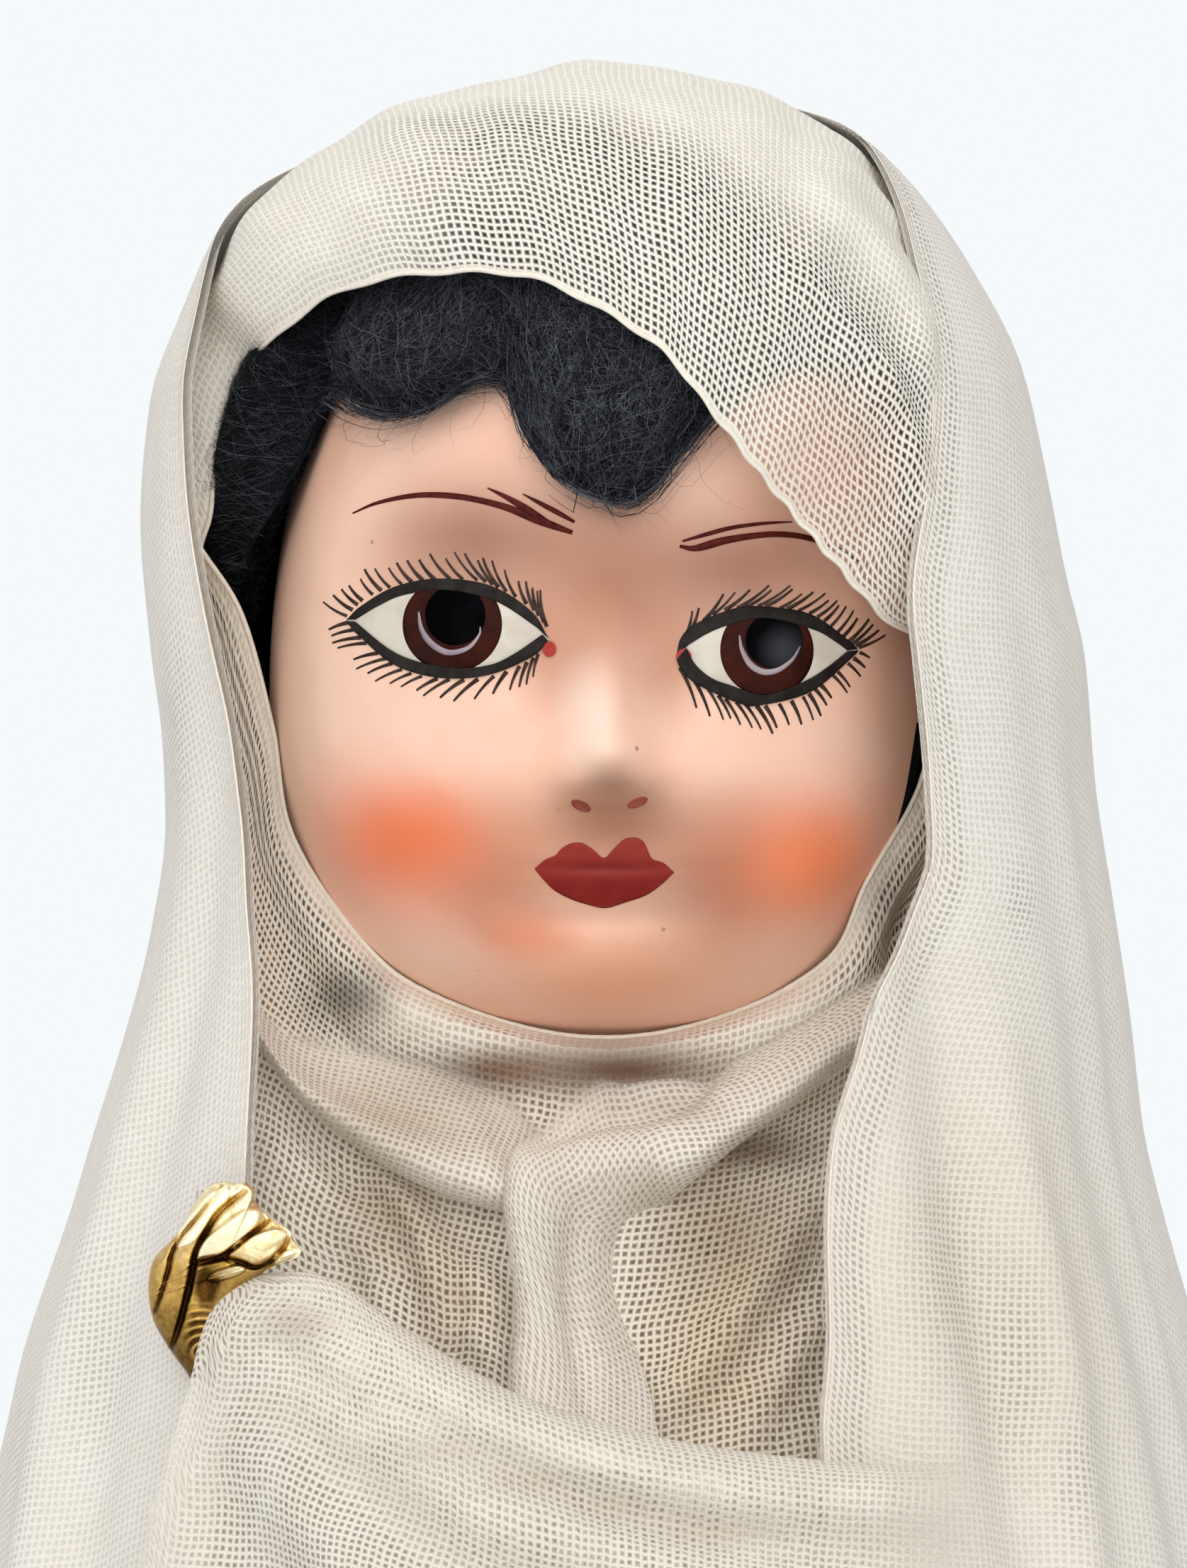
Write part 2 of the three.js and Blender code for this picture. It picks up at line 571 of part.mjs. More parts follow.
function leg(name, side) {
  const limb = turned(legProfile(0), LIMB_SEGMENTS).translate(side * LEG_X, 0, 0);
  const way = barX(WIRE_RADIUS + WIRE_CLEARANCE, -FAR, FAR, 0, HIP_HEIGHT, BORE_SEGMENTS);
  const made = solid(limb).add(footSolid(side, 0, FOOT_BOTTOM_Z)).subtract(way);
  return meshOf(name, made, MATERIALS.paint);
}

// A slipper's upper, open over the instep.
function slipper(name, side) {
  const throat = new THREE.CylinderGeometry(1, 1, FOOT_HEIGHT * 3, LIMB_SEGMENTS).rotateX(Math.PI / 2);
  throat.scale(FOOT_HALF_WIDTH * 0.86, FOOT_LENGTH * 0.3, 1);
  throat.translate(side * LEG_X, HEEL_SETBACK * 0.2, FOOT_BOTTOM_Z + FOOT_HEIGHT * 2.1);
  const made = footSolid(side, SLIPPER_WALL + GAP, FOOT_BOTTOM_Z)
    .subtract(footSolid(side, GAP, FOOT_BOTTOM_Z - 1))
    .subtract(solid(turned(legProfile(GAP), LIMB_SEGMENTS).translate(side * LEG_X, 0, 0)))
    .subtract(solid(throat));
  return meshOf(name, made, MATERIALS.slipper);
}

function sole(name, side) {
  const outline = new THREE.Shape().absellipse(
    side * LEG_X, FOOT_MIDDLE_Y,
    FOOT_HALF_WIDTH + SLIPPER_WALL + GAP + SOLE_MARGIN,
    FOOT_LENGTH / 2 + SLIPPER_WALL + GAP + SOLE_MARGIN,
    0, 2 * Math.PI,
  );
  const plate = new THREE.ExtrudeGeometry(outline, {
    depth: SOLE_THICKNESS, bevelEnabled: false, curveSegments: LIMB_SEGMENTS,
  });
  return meshOf(name, solid(plate), MATERIALS.leather);
}

// Veil

const HOOD_WIDE_Z = FACE_Z + 4.5;
const HOOD_RADIUS = JAW_RADIUS + HOOD_SIDE_EASE;
const HOOD_TOP_Z = CROWN_Z + HOOD_TOP_EASE;
// The dome of the hood is squarer than an egg, by these two powers.
const [DOME_RISE_POWER, DOME_ROUND_POWER] = [2.4, 1 / 2.1];

// The veil's folds deepen from nothing at its top.
function foldAt(angle, z, depth) {
  const hang = THREE.MathUtils.clamp((HOOD_TOP_Z - z) / (HOOD_TOP_Z - FALL_HEM_HEIGHT), 0, 1);
  return depth * hang * Math.cos(CAPE_FOLDS * angle);
}

function hoodSolid(inset, bottom) {
  const radius = HOOD_RADIUS - inset;
  const flare = HOOD_FLARE * Math.max(0, (HOOD_WIDE_Z - bottom) / (HOOD_WIDE_Z - SPLIT_Z));
  const profile = [[0, bottom], [radius + flare, bottom], [radius, HOOD_WIDE_Z]];
  const steps = 9;
  for (let i = 1; i <= steps; i++) {
    const rise = Math.sin((Math.PI / 2) * (i / steps));
    const spread = i < steps ? (1 - rise ** DOME_RISE_POWER) ** DOME_ROUND_POWER : 0;
    profile.push([radius * spread, HOOD_WIDE_Z + (HOOD_TOP_Z - inset - HOOD_WIDE_Z) * rise]);
  }
  const front = (FACE_DEPTH + HOOD_FRONT_EASE) / HOOD_RADIUS;
  const back = (SKULL_DEPTH + HOOD_BACK_EASE) / HOOD_RADIUS;
  const dome = turned(profile, HEAD_SEGMENTS);
  return solid(
    deform(dome, (p) => {
      const reach = Math.hypot(p.x, p.y);
      const fold = reach > 0 ? 1 + foldAt(Math.atan2(p.x, -p.y), p.z, CAPE_FOLD_DEPTH) / HOOD_RADIUS : 1;
      p.x *= fold;
      p.y *= fold * (p.y < 0 ? front : back);
    }),
  );
}

// The edge of the veil round the face, [x, height above the face's widest level].
const FACE_OPENING = [
  [-29, 10.5], [-26.4, 22.2], [-24, 25.5], [-19.6, 28.5], [-14.1, 29.7], [-7.5, 29.7], [-4.1, 28.9],
  [0.3, 26.6], [4.1, 23.9], [6.9, 20], [10.2, 16.1], [16.3, 9], [21.8, 4.3], [22.4, -6.5], [19.1, -14.3],
  [15.8, -19.2], [11.3, -22.6], [5.8, -23.9], [0.3, -24.8], [-5.3, -24.2], [-11.3, -22.6], [-15.8, -19.8],
  [-19.1, -16.5], [-21.8, -11], [-23.8, -5.4], [-24.6, 0.1], [-26.3, 5.6],
];

function hood() {
  const bottom = SPLIT_Z + GAP / 2;
  const opening = prism(FACE_OPENING.map(onFace), -FAR, 0);
  const cloth = hoodSolid(0, bottom).subtract(hoodSolid(CLOTH_THICKNESS, bottom - 1)).subtract(opening);
  return meshOf("veil_hood", cloth, MATERIALS.gauze);
}

// Half width and half depth of the veil below the chin, at each height.
const CAPE_HAND_HALF_WIDTH = ARM_X + ARM_SPLAY * ARM_LENGTH + HAND_HALF_THICKNESS + CAPE_HAND_EASE;
const CAPE_WIDTHS = [
  [SPLIT_Z, HOOD_RADIUS + HOOD_FLARE],
  [SHOULDER_Z + 4, ARM_SEAT + WASHER_THICKNESS + WIRE_HEAD_LENGTH + CAPE_SHOULDER_EASE],
  [HAND_Z, CAPE_HAND_HALF_WIDTH],
  [BACK_HEM_HEIGHT, CAPE_HAND_HALF_WIDTH + CAPE_HEM_FLARE],
];
const CAPE_DEPTHS = [
  [SPLIT_Z, CAPE_NECK_DEPTH],
  [SHOULDER_Z + 4, CAPE_SHOULDER_DEPTH],
  [HAND_Z, CAPE_HAND_DEPTH],
  [BACK_HEM_HEIGHT, CAPE_HAND_DEPTH + CAPE_HEM_FLARE],
];

// A point on the veil at an angle from the front, towards the doll's left, and a height.
function capePoint(angle, z, out, foldDepth) {
  const away = out + foldAt(angle, z, foldDepth);
  return [
    (between(CAPE_WIDTHS, z) + away) * Math.sin(angle),
    -(between(CAPE_DEPTHS, z) + away) * Math.cos(angle),
    z,
  ];
}

const degrees = THREE.MathUtils.degToRad;

// A sector of the veil between two angles, from a top edge to a hem.
function capeSector(name, fromDeg, toDeg, hem, columns, rows) {
  const top = SPLIT_Z - GAP / 2;
  const face = (out) => (u, v) =>
    capePoint(degrees(fromDeg + (toDeg - fromDeg) * u), top + (hem - top) * v, out, CAPE_FOLD_DEPTH);
  return meshOf(name, sheet(columns, rows, face(0), face(-CLOTH_THICKNESS)), MATERIALS.gauze);
}

// Angles of the veil's edges, from the front towards the doll's left, in degrees.
const LEFT_FALL_EDGE = 24;
const RIGHT_FALL_EDGE = -35;
const BACK_FALL_EDGE = 140;
const FALL_GAP = 0.5;

// The wrap under the chin, a soft rolled collar of gauze.
const WRAP_DEPTH_RATIO = 0.88;
const WRAP_FOLDS = 7;
const WRAP_FOLD_SHARE = 0.035;
function chinWrap() {
  const inside = NECK_RADIUS * (SKULL_DEPTH / JAW_RADIUS) + SWING_GAP;
  const outside = HOOD_RADIUS - 2;
  const low = COLLAR_Z + 2;
  const high = SPLIT_Z - GAP;
  const overArm = SHOULDER_Z + ARM_RADIUS + SWING_GAP;
  const reach = (share) => inside + (outside - inside) * share;
  const section = [
    [reach(0), low],
    [reach(0.02), high - 2.5],
    [reach(0.3), high],
    [reach(0.68), high - 1.8],
    [reach(0.95), (high + low) / 2],
    [reach(1), overArm],
    [reach(0.88), overArm],
    [reach(0.72), low],
    [reach(0.3), low + 1],
  ];
  const ring = deform(turnedRing(section, 35), (p) => {
    const angle = Math.atan2(p.x, -p.y);
    const share = (Math.hypot(p.x, p.y) - inside) / (outside - inside);
    const fold = 1 + WRAP_FOLD_SHARE * Math.cos(WRAP_FOLDS * angle) * share;
    p.x *= fold;
    p.y *= fold * THREE.MathUtils.lerp(1, WRAP_DEPTH_RATIO, share);
  });
  return meshOf("chin_wrap", solid(ring), MATERIALS.gauze);
}

// The sash hangs from the brooch across the chest: its upper edge sags towards the doll's left.
const SASH_FROM = -33;
const SASH_TO = 58;
const SASH_PIN_DROP = 17; // chin to the pinned corner
const SASH_SAG = 13; // pinned corner to the lowest part of the upper edge
const SASH_HEM_DIP = 7; // how much lower its hem hangs in the middle than at the ends
function chestSash() {
  const corner = CHIN_Z - SASH_PIN_DROP;
  const upper = (u) => corner - SASH_SAG * Math.sin((Math.PI / 2) * Math.min(1, u * 1.25));
  const face = (out) => (u, v) => {
    const angle = degrees(SASH_FROM + (SASH_TO - SASH_FROM) * u);
    const lower = SASH_HEM_HEIGHT + SASH_HEM_DIP * (2 * u - 1) ** 2;
    const z = upper(u) + (lower - upper(u)) * v;
    const ripple = SASH_FOLD_DEPTH * Math.sin(Math.PI * (5 * v + 1.4 * u));
    return capePoint(angle, z, SASH_STANDOFF + ripple + out, 0);
  };
  return meshOf("chest_sash", sheet(14, 11, face(0), face(-CLOTH_THICKNESS)), MATERIALS.gauze);
}

// Gown

const GOWN_WIDTHS = [
  [GOWN_TOP_Z, CHEST_HALF_WIDTH + GOWN_EASE],
  [SHOULDER_Z - TORSO_LENGTH * 0.55, WAIST_HALF_WIDTH + 2 * GOWN_EASE],
  [PELVIS_Z, HIP_HALF_WIDTH + 2 * GOWN_EASE],
  [HAND_Z, HIP_HALF_WIDTH + 5 * GOWN_EASE],
  [HEM_HEIGHT, GOWN_HEM_HALF_WIDTH],
];
const GOWN_DEPTHS = [
  [GOWN_TOP_Z, CHEST_HALF_WIDTH * TORSO_DEPTH_RATIO + GOWN_EASE],
  [SHOULDER_Z - TORSO_LENGTH * 0.55, WAIST_HALF_WIDTH * TORSO_DEPTH_RATIO + 2 * GOWN_EASE],
  [PELVIS_Z, HIP_HALF_WIDTH * TORSO_DEPTH_RATIO + 3 * GOWN_EASE],
  [HAND_Z, HIP_HALF_WIDTH * TORSO_DEPTH_RATIO + 6 * GOWN_EASE],
  [HEM_HEIGHT, GOWN_HEM_HALF_DEPTH],
];

// One of the gown's four gores, a quarter turn wide.
function gore(name, middleDeg) {
  const half = 45 - FALL_GAP;
  const face = (out) => (u, v) => {
    const angle = degrees(middleDeg - half + 2 * half * u);
    const z = GOWN_TOP_Z + (HEM_HEIGHT - GOWN_TOP_Z) * v;
    const away = out + GOWN_FOLD_DEPTH * v * Math.cos(GOWN_FOLDS * angle);
    const [width, depth] = [between(GOWN_WIDTHS, z), between(GOWN_DEPTHS, z)];
    return [(width + away) * Math.sin(angle), -(depth + away) * Math.cos(angle), z];
  };
  return meshOf(name, sheet(12, 7, face(0), face(-CLOTH_THICKNESS)), MATERIALS.cotton);
}

// Brooch

const BROOCH_ANGLE = degrees(-42);
const BROOCH_Z = CHIN_Z - SASH_PIN_DROP + 1;

// A group turned to lie on the veil where the brooch is pinned: its -Y points out of the cloth.
function broochGroup() {
  const group = new THREE.Group();
  group.position.set(...capePoint(BROOCH_ANGLE, BROOCH_Z, CAPE_FOLD_DEPTH, 0));
  group.rotation.z = BROOCH_ANGLE * 0.75;
  const half = BROOCH_HEIGHT / 2;
  const leaf = (back) => (u, v) => {
    const around = -1 + 2 * u;
    const rise = -1 + 2 * v;
    const width = (BROOCH_WIDTH / 2) * Math.sqrt(Math.max(0.02, 1 - rise * rise)) * (1 - 0.25 * rise);
    const dome = BROOCH_DOME * (1 - around * around) * Math.sqrt(Math.max(0, 1 - rise * rise));
    const ridge = BROOCH_RIDGE_HEIGHT * Math.cos(Math.PI * BROOCH_RIDGES * around);
    const out = dome + ridge * (1 - rise * rise) + BROOCH_RIDGE_HEIGHT + GAP + 2 * PIN_RADIUS;
    return [width * around - 0.18 * BROOCH_WIDTH * rise * rise, -out + (back ? BROOCH_THICKNESS : 0), half * rise];
  };
  const shell = sheet(10, 8, leaf(false), leaf(true));
  const pin = new THREE.CylinderGeometry(PIN_RADIUS, PIN_RADIUS, BROOCH_HEIGHT * 0.8, WIRE_SEGMENTS);
  const pinOut = BROOCH_THICKNESS - BROOCH_DOME * 0.5 + PIN_RADIUS;
  pin.rotateX(Math.PI / 2).translate(0, Math.min(pinOut, 0), 0);
  group.add(meshOf("brooch", shell, MATERIALS.gilt));
  group.add(meshOf("brooch_pin", solid(pin), MATERIALS.steel));
  return group;
}

// Assembly

const doll = new THREE.Group();
const head = new THREE.Group();
head.add(...headShells(), neckPlug(), neckHook(), ...wig(), hood());

const body = new THREE.Group();
body.add(...torsoShells(), hipBlock(), neckWasher(), neckElastic());
body.add(jointWire("shoulder_wire", ARM_SEAT, SHOULDER_Z), jointWire("hip_wire", LEG_SEAT, HIP_HEIGHT));
const GORES = { gown_front: 0, gown_left: 90, gown_back: 180, gown_right: -90 };
body.add(...Object.entries(GORES).map(([name, middle]) => gore(name, middle)));
body.add(
  chinWrap(),
  capeSector("veil_fall_left", LEFT_FALL_EDGE, BACK_FALL_EDGE - FALL_GAP, FALL_HEM_HEIGHT, 24, 6),
  capeSector("veil_fall_right", -BACK_FALL_EDGE + FALL_GAP, RIGHT_FALL_EDGE, FALL_HEM_HEIGHT, 22, 6),
  capeSector("veil_fall_back", BACK_FALL_EDGE, 360 - BACK_FALL_EDGE, BACK_HEM_HEIGHT, 16, 6),
  chestSash(),
  broochGroup(),
);

const limbs = new THREE.Group();
for (const [label, side] of [["left", 1], ["right", -1]]) {
  limbs.add(
    arm(`${label}_arm`, side),
    wireWasher(`${label}_arm_washer`, side, ARM_SEAT, SHOULDER_Z),
    leg(`${label}_leg`, side),
    wireWasher(`${label}_hip_washer`, side, LEG_SEAT, HIP_HEIGHT),
    slipper(`${label}_slipper`, side),
    sole(`${label}_sole`, side),
  );
}
doll.add(head, body, limbs);

export default doll;
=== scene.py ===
# %% [markdown]
# # A papier-mache doll in a gauze veil
#
# The doll is a head, a body and four limbs pressed from paper, dressed in a cotton gown and a long veil of
# open gauze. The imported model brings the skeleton: every body, joint and hidden fitting at its real size.
# This lesson dresses it. Each piece is a surface worked out with numpy in millimetres and put into a mesh.

import bmesh
import bpy
import numpy as np
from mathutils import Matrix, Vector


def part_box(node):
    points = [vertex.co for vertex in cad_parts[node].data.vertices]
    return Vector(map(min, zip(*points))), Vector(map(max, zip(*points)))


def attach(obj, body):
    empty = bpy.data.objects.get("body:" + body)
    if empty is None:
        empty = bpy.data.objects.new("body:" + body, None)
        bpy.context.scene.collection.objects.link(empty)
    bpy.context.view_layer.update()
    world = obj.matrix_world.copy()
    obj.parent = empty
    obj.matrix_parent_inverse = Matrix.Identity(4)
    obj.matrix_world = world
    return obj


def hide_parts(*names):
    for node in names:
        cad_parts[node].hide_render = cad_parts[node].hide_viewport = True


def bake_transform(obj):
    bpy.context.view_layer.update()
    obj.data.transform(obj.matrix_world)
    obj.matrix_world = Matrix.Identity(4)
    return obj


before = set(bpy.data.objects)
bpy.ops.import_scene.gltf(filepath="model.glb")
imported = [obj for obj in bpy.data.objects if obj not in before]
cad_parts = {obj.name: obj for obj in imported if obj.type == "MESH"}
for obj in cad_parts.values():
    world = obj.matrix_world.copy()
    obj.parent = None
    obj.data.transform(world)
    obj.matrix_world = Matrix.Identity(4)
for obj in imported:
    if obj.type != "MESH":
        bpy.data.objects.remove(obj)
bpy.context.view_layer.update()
MM = 0.001
print("packed nodes:", len(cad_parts))

# %% [markdown]
# ## Camera
#
# The picture is a level portrait of the head and shoulders. A long lens a little under a metre away keeps the
# face free of perspective. The frame is portrait, so the sensor's 36 mm is its height.

# %% Camera
PICTURE_MIDDLE = np.array([-1.0, -25.0, 288.0])  # the point in the plane of the face that the lens looks at
CAMERA_DISTANCE = 900.0
PICTURE_HEIGHT = 110.6
SENSOR = 36.0

camera = bpy.data.objects.new("camera", bpy.data.cameras.new("camera"))
camera.data.sensor_width = SENSOR
camera.data.lens = SENSOR * CAMERA_DISTANCE / PICTURE_HEIGHT
camera.location = (PICTURE_MIDDLE - np.array([0, CAMERA_DISTANCE, 0])) * MM
camera.rotation_euler = (np.pi / 2, 0, 0)
bpy.context.scene.collection.objects.link(camera)
bpy.context.scene.camera = camera
print("lens:", round(camera.data.lens), "mm")

# %% [markdown]
# ## Curves and surfaces
#
# Almost everything here is a curve through a few measured points, or a grid of points that such curves span.
# Catmull-Rom pieces pass through every point, so a hairline or a lash can be written down as it was measured.

# %% Curves through points
def spline(knots, t):
    """Catmull-Rom curve through knots, along their first axis, at t from 0 at the first to 1 at the last."""
    knots = np.asarray(knots, float)
    p = np.concatenate([[2 * knots[0] - knots[1]], knots, [2 * knots[-1] - knots[-2]]])
    at = np.asarray(t, float) * (len(knots) - 1)
    i = np.minimum(at.astype(int), len(knots) - 2)
    f = (at - i).reshape(-1, *[1] * (knots.ndim - 1))
    a, b, c, d = p[i], p[i + 1], p[i + 2], p[i + 3]
    return b + 0.5 * f * (c - a + f * (2 * a - 5 * b + 4 * c - d + f * (3 * (b - c) + d - a)))


def evenly(points, count):
    """The same line as points, with count points at equal distances along it."""
    steps = np.linalg.norm(np.diff(points, axis=0), axis=1)
    along = np.concatenate([[0], np.cumsum(steps)])
    places = np.linspace(0, along[-1], count)
    return np.column_stack([np.interp(places, along, column) for column in points.T])


def curve(knots, count):
    """Smooth curve through knots, as count points at equal distances."""
    return evenly(spline(knots, np.linspace(0, 1, 30 * len(knots))), count)


def smooth(table, x):
    """Smooth function through the table's (x, value) rows, whose x values rise. It never swings past a row.

    Each stretch is a cubic. Its slope at a row is the harmonic mean of both sides' slopes, 0 at a peak.
    """
    knots, values = np.asarray(table, float).T
    slopes = np.diff(values) / np.diff(knots)
    same_way = slopes[:-1] * slopes[1:]
    mean = 2 * same_way / np.where(same_way > 0, slopes[:-1] + slopes[1:], 1)
    tangent = np.concatenate([slopes[:1], np.where(same_way > 0, mean, 0), slopes[-1:]])
    i = np.clip(np.searchsorted(knots, x, side="right") - 1, 0, len(knots) - 2)
    run, rise = knots[i + 1] - knots[i], values[i + 1] - values[i]
    t = np.clip((x - knots[i]) / run, 0, 1)
    start, end = run * tangent[i], run * tangent[i + 1]
    return values[i] + t * (start + t * (3 * rise - 2 * start - end + t * (start + end - 2 * rise)))


def step(low, high, x):
    """0 below low, 1 above high, and an S curve between."""
    t = np.clip((x - low) / (high - low), 0, 1)
    return t * t * (3 - 2 * t)


def bell(x, middle, width):
    """1 at the middle, falling away to both sides as a bell curve of that width."""
    return np.exp(-(((x - middle) / width) ** 2))


# %% Grids into meshes
SEAM_GAP = 1e-7  # metres; points closer than this are one point
SLANT = [0.31, 0.17, 0.93]  # a direction that no tube here runs along


def share_down(rows):
    """A column of shares, from 0 at a grid's first row to 1 at its last."""
    return np.linspace(0, 1, rows)[:, None]


def turn_round(columns, start=0.0):
    """A row of angles once round, from start on."""
    return np.linspace(start, start + 2 * np.pi, columns + 1)[None]


def xyz(x, y, z):
    """Grid points from their three coordinates, each of which may be a single row or column."""
    return np.stack(np.broadcast_arrays(x, y, z), axis=-1)


def weld(mesh, gap, outward=False):
    """Merges points closer than gap, in metres, and turns the faces outward if asked."""
    welded = bmesh.new()
    welded.from_mesh(mesh)
    bmesh.ops.remove_doubles(welded, verts=welded.verts, dist=gap)
    if outward:
        bmesh.ops.recalc_face_normals(welded, faces=welded.faces)
    welded.to_mesh(mesh)
    welded.free()


def piece(name, points, material, uv=None, flip=False, close=True):
    """A mesh piece from grids: points[..., row, column, xyz] in millimetres, one quad for each grid cell.

    Seams and poles, where points fall together, are merged. uv has the grids' shape, in metres.
    """
    grids = points.reshape(-1, *points.shape[-3:])
    index = np.arange(grids[..., 0].size).reshape(grids.shape[:3])
    quads = np.stack([index[:, :-1, :-1], index[:, :-1, 1:], index[:, 1:, 1:], index[:, 1:, :-1]], axis=-1)
    quads = quads.reshape(-1, 4)[:, ::-1 if flip else 1]
    mesh = bpy.data.meshes.new(name)
    mesh.from_pydata((grids.reshape(-1, 3) * MM).tolist(), [], quads.tolist())
    if uv is not None:
        layer = mesh.uv_layers.new(name="cut")
        layer.data.foreach_set("uv", uv.reshape(-1, 2)[quads.ravel()].ravel())
    mesh.polygons.foreach_set("use_smooth", np.ones(len(quads), bool))
    if close:
        weld(mesh, SEAM_GAP)
    mesh.materials.append(material)
    made = bpy.data.objects.new(name, mesh)
    bpy.context.scene.collection.objects.link(made)
    print(name, "faces:", len(mesh.polygons))
    return made


def note(made, label, values):
    """Writes one value for each vertex into an attribute that the piece's finish reads."""
    layer = made.data.attributes.new(label, "FLOAT", "POINT")
    layer.data.foreach_set("value", values.ravel().astype(np.float32))


def cut_uv(points):
    """Cloth coordinates of a grid, in metres: along each row from its middle, and down each column."""
    across = np.linalg.norm(np.diff(points, axis=1), axis=2).cumsum(axis=1)
    across = np.pad(across, ((0, 0), (1, 0)))
    across -= across[:, [points.shape[1] // 2]]
    down = np.linalg.norm(np.diff(points, axis=0), axis=2).cumsum(axis=0)
    down = np.pad(down, ((1, 0), (0, 0)))
    return np.stack([across, down], axis=-1) * MM


def normals(points):
    """Unit normals of a grid, from the slopes along its rows and columns."""
    across = np.gradient(points, axis=1)
    down = np.gradient(points, axis=0)
    n = np.cross(down, across)
    return n / np.maximum(np.linalg.norm(n, axis=2, keepdims=True), 1e-9)


def tube(path, radius, sides=8):
    """Round tube along path: a circle of that radius, set square to the path at each point."""
    tangent = np.gradient(path, axis=0)
    tangent /= np.linalg.norm(tangent, axis=1, keepdims=True)
    first = np.cross(tangent, SLANT)
    first /= np.linalg.norm(first, axis=1, keepdims=True)
    second = np.cross(tangent, first)
    turn = np.linspace(0, 2 * np.pi, sides + 1)[:, None, None]
    reach = np.broadcast_to(radius, len(path))[:, None]
    ring = path + reach * (np.cos(turn) * first + np.sin(turn) * second)
    return np.swapaxes(ring, 0, 1)


# %% [markdown]
# ## Finishes
#
# A finish is a Principled shader fed by procedural nodes. These helpers keep the wiring readable: one puts a
# node down and fills its sockets, one does sums, one draws a soft edge and one mixes two colours.

# %% Node helpers
def put(tree, kind, inputs=None, **settings):
    """Adds a node, sets its options, and links or fills the named or numbered inputs."""
    node = tree.nodes.new(kind)
    for name, value in settings.items():
        setattr(node, name, value)
    for key, value in (inputs or {}).items():
        if isinstance(value, bpy.types.NodeSocket):
            tree.links.new(value, node.inputs[key])
        else:
            node.inputs[key].default_value = value
    return node


def calc(tree, operation, *values):
    """The output of a Math node."""
    return put(tree, "ShaderNodeMath", dict(enumerate(values)), operation=operation).outputs[0]


def vector(tree, operation, *values):
    """The output of a Vector Math node."""
    return put(tree, "ShaderNodeVectorMath", dict(enumerate(values)), operation=operation).outputs[0]


def grown(tree, value, factor):
    """A vector times a factor."""
    return put(tree, "ShaderNodeVectorMath", {0: value, "Scale": factor}, operation="SCALE").outputs[0]


def length(tree, value):
    """How long a vector is."""
    return put(tree, "ShaderNodeVectorMath", {0: value}, operation="LENGTH").outputs["Value"]


def split(tree, value):
    """A vector's outputs X, Y and Z."""
    return put(tree, "ShaderNodeSeparateXYZ", {0: value}).outputs


def attribute(tree, name):
    """The value that note() wrote for each vertex."""
    return put(tree, "ShaderNodeAttribute", attribute_name=name).outputs["Fac"]


def edge(tree, value, low, high):
    """0 where value is at low, 1 where it is at high, with an S curve between."""
    inputs = {"Value": value, "From Min": low, "From Max": high}
    return put(tree, "ShaderNodeMapRange", inputs, interpolation_type="SMOOTHSTEP").outputs[0]


def scaled(tree, share, low, high):
    """A value that goes from low to high as share goes from 0 to 1."""
    return put(tree, "ShaderNodeMapRange", {"Value": share, "To Min": low, "To Max": high}).outputs[0]


def shade(code):
    """A colour picked on a screen, such as E8B79A, as the linear values that shaders work in."""
    values = np.array([int(code[i:i + 2], 16) for i in (0, 2, 4)]) / 255
    linear = np.where(values <= 0.04045, values / 12.92, ((values + 0.055) / 1.055) ** 2.4)
    return (*linear.tolist(), 1.0)


def tint(tree, share, first, second):
    """The first colour, going over to the second as share goes from 0 to 1; either may be a code."""
    first, second = (shade(colour) if isinstance(colour, str) else colour for colour in (first, second))
    return put(tree, "ShaderNodeMix", {0: share, 6: first, 7: second}, data_type="RGBA").outputs[2]


def noise(tree, coords, scale, detail=2.0, roughness=0.5):
    """A Noise Texture's value on the given coordinates."""
    inputs = {"Vector": coords, "Scale": scale, "Detail": detail, "Roughness": roughness}
    return put(tree, "ShaderNodeTexNoise", inputs).outputs[0]


def spot(tree, coords, centre, size):
    """1 at centre, fading to 0 on the ellipsoid of that size; both in millimetres."""
    offset = vector(tree, "SUBTRACT", coords, np.array(centre) * MM)
    far = length(tree, vector(tree, "DIVIDE", offset, np.array(size) * MM))
    return edge(tree, far, 1.0, 0.0)


def stains_and_painted_light(tree, coords, colour, spots):
    """The colour under soft spots laid on in turn, for stains, tints, painted shade and painted light: each
    has its own colour, strength, centre and size.
    """
    for code, strength, centre, size in spots:
        share = calc(tree, "MULTIPLY", spot(tree, coords, centre, size), strength)
        colour = tint(tree, share, colour, code)
    return colour


# %% Finish helpers
def socket(shader, name):
    """The shader's socket for a Python name such as specular_ior_level."""
    return shader.inputs[name.replace("_", " ").title().replace("Ior", "IOR")]


def finish(name, **settings):
    """A material with one Principled shader, its named sockets set; gives material, tree and shader."""
    material = bpy.data.materials.new(name)
    material.use_nodes = True
    shader = material.node_tree.nodes["Principled BSDF"]
    for key, value in settings.items():
        socket(shader, key).default_value = value
    print("finish:", name)
    return material, material.node_tree, shader


def feed(tree, shader, height=None, depth=0.0, **values):
    """Links values into the shader's sockets, and bumps it by height, where 1 is depth in millimetres."""
    for key, value in values.items():
        tree.links.new(value, socket(shader, key))
    if height is not None:
        inputs = {"Height": height, "Distance": depth * MM, "Strength": 1.0}
        tree.links.new(put(tree, "ShaderNodeBump", inputs).outputs[0], shader.inputs["Normal"])


def own_coords(tree):
    """The piece's own coordinates, in metres, the same as the doll's."""
    return put(tree, "ShaderNodeTexCoord").outputs["Object"]


# %% Node groups
FLOAT, VECTOR = "NodeSocketFloat", "NodeSocketVector"


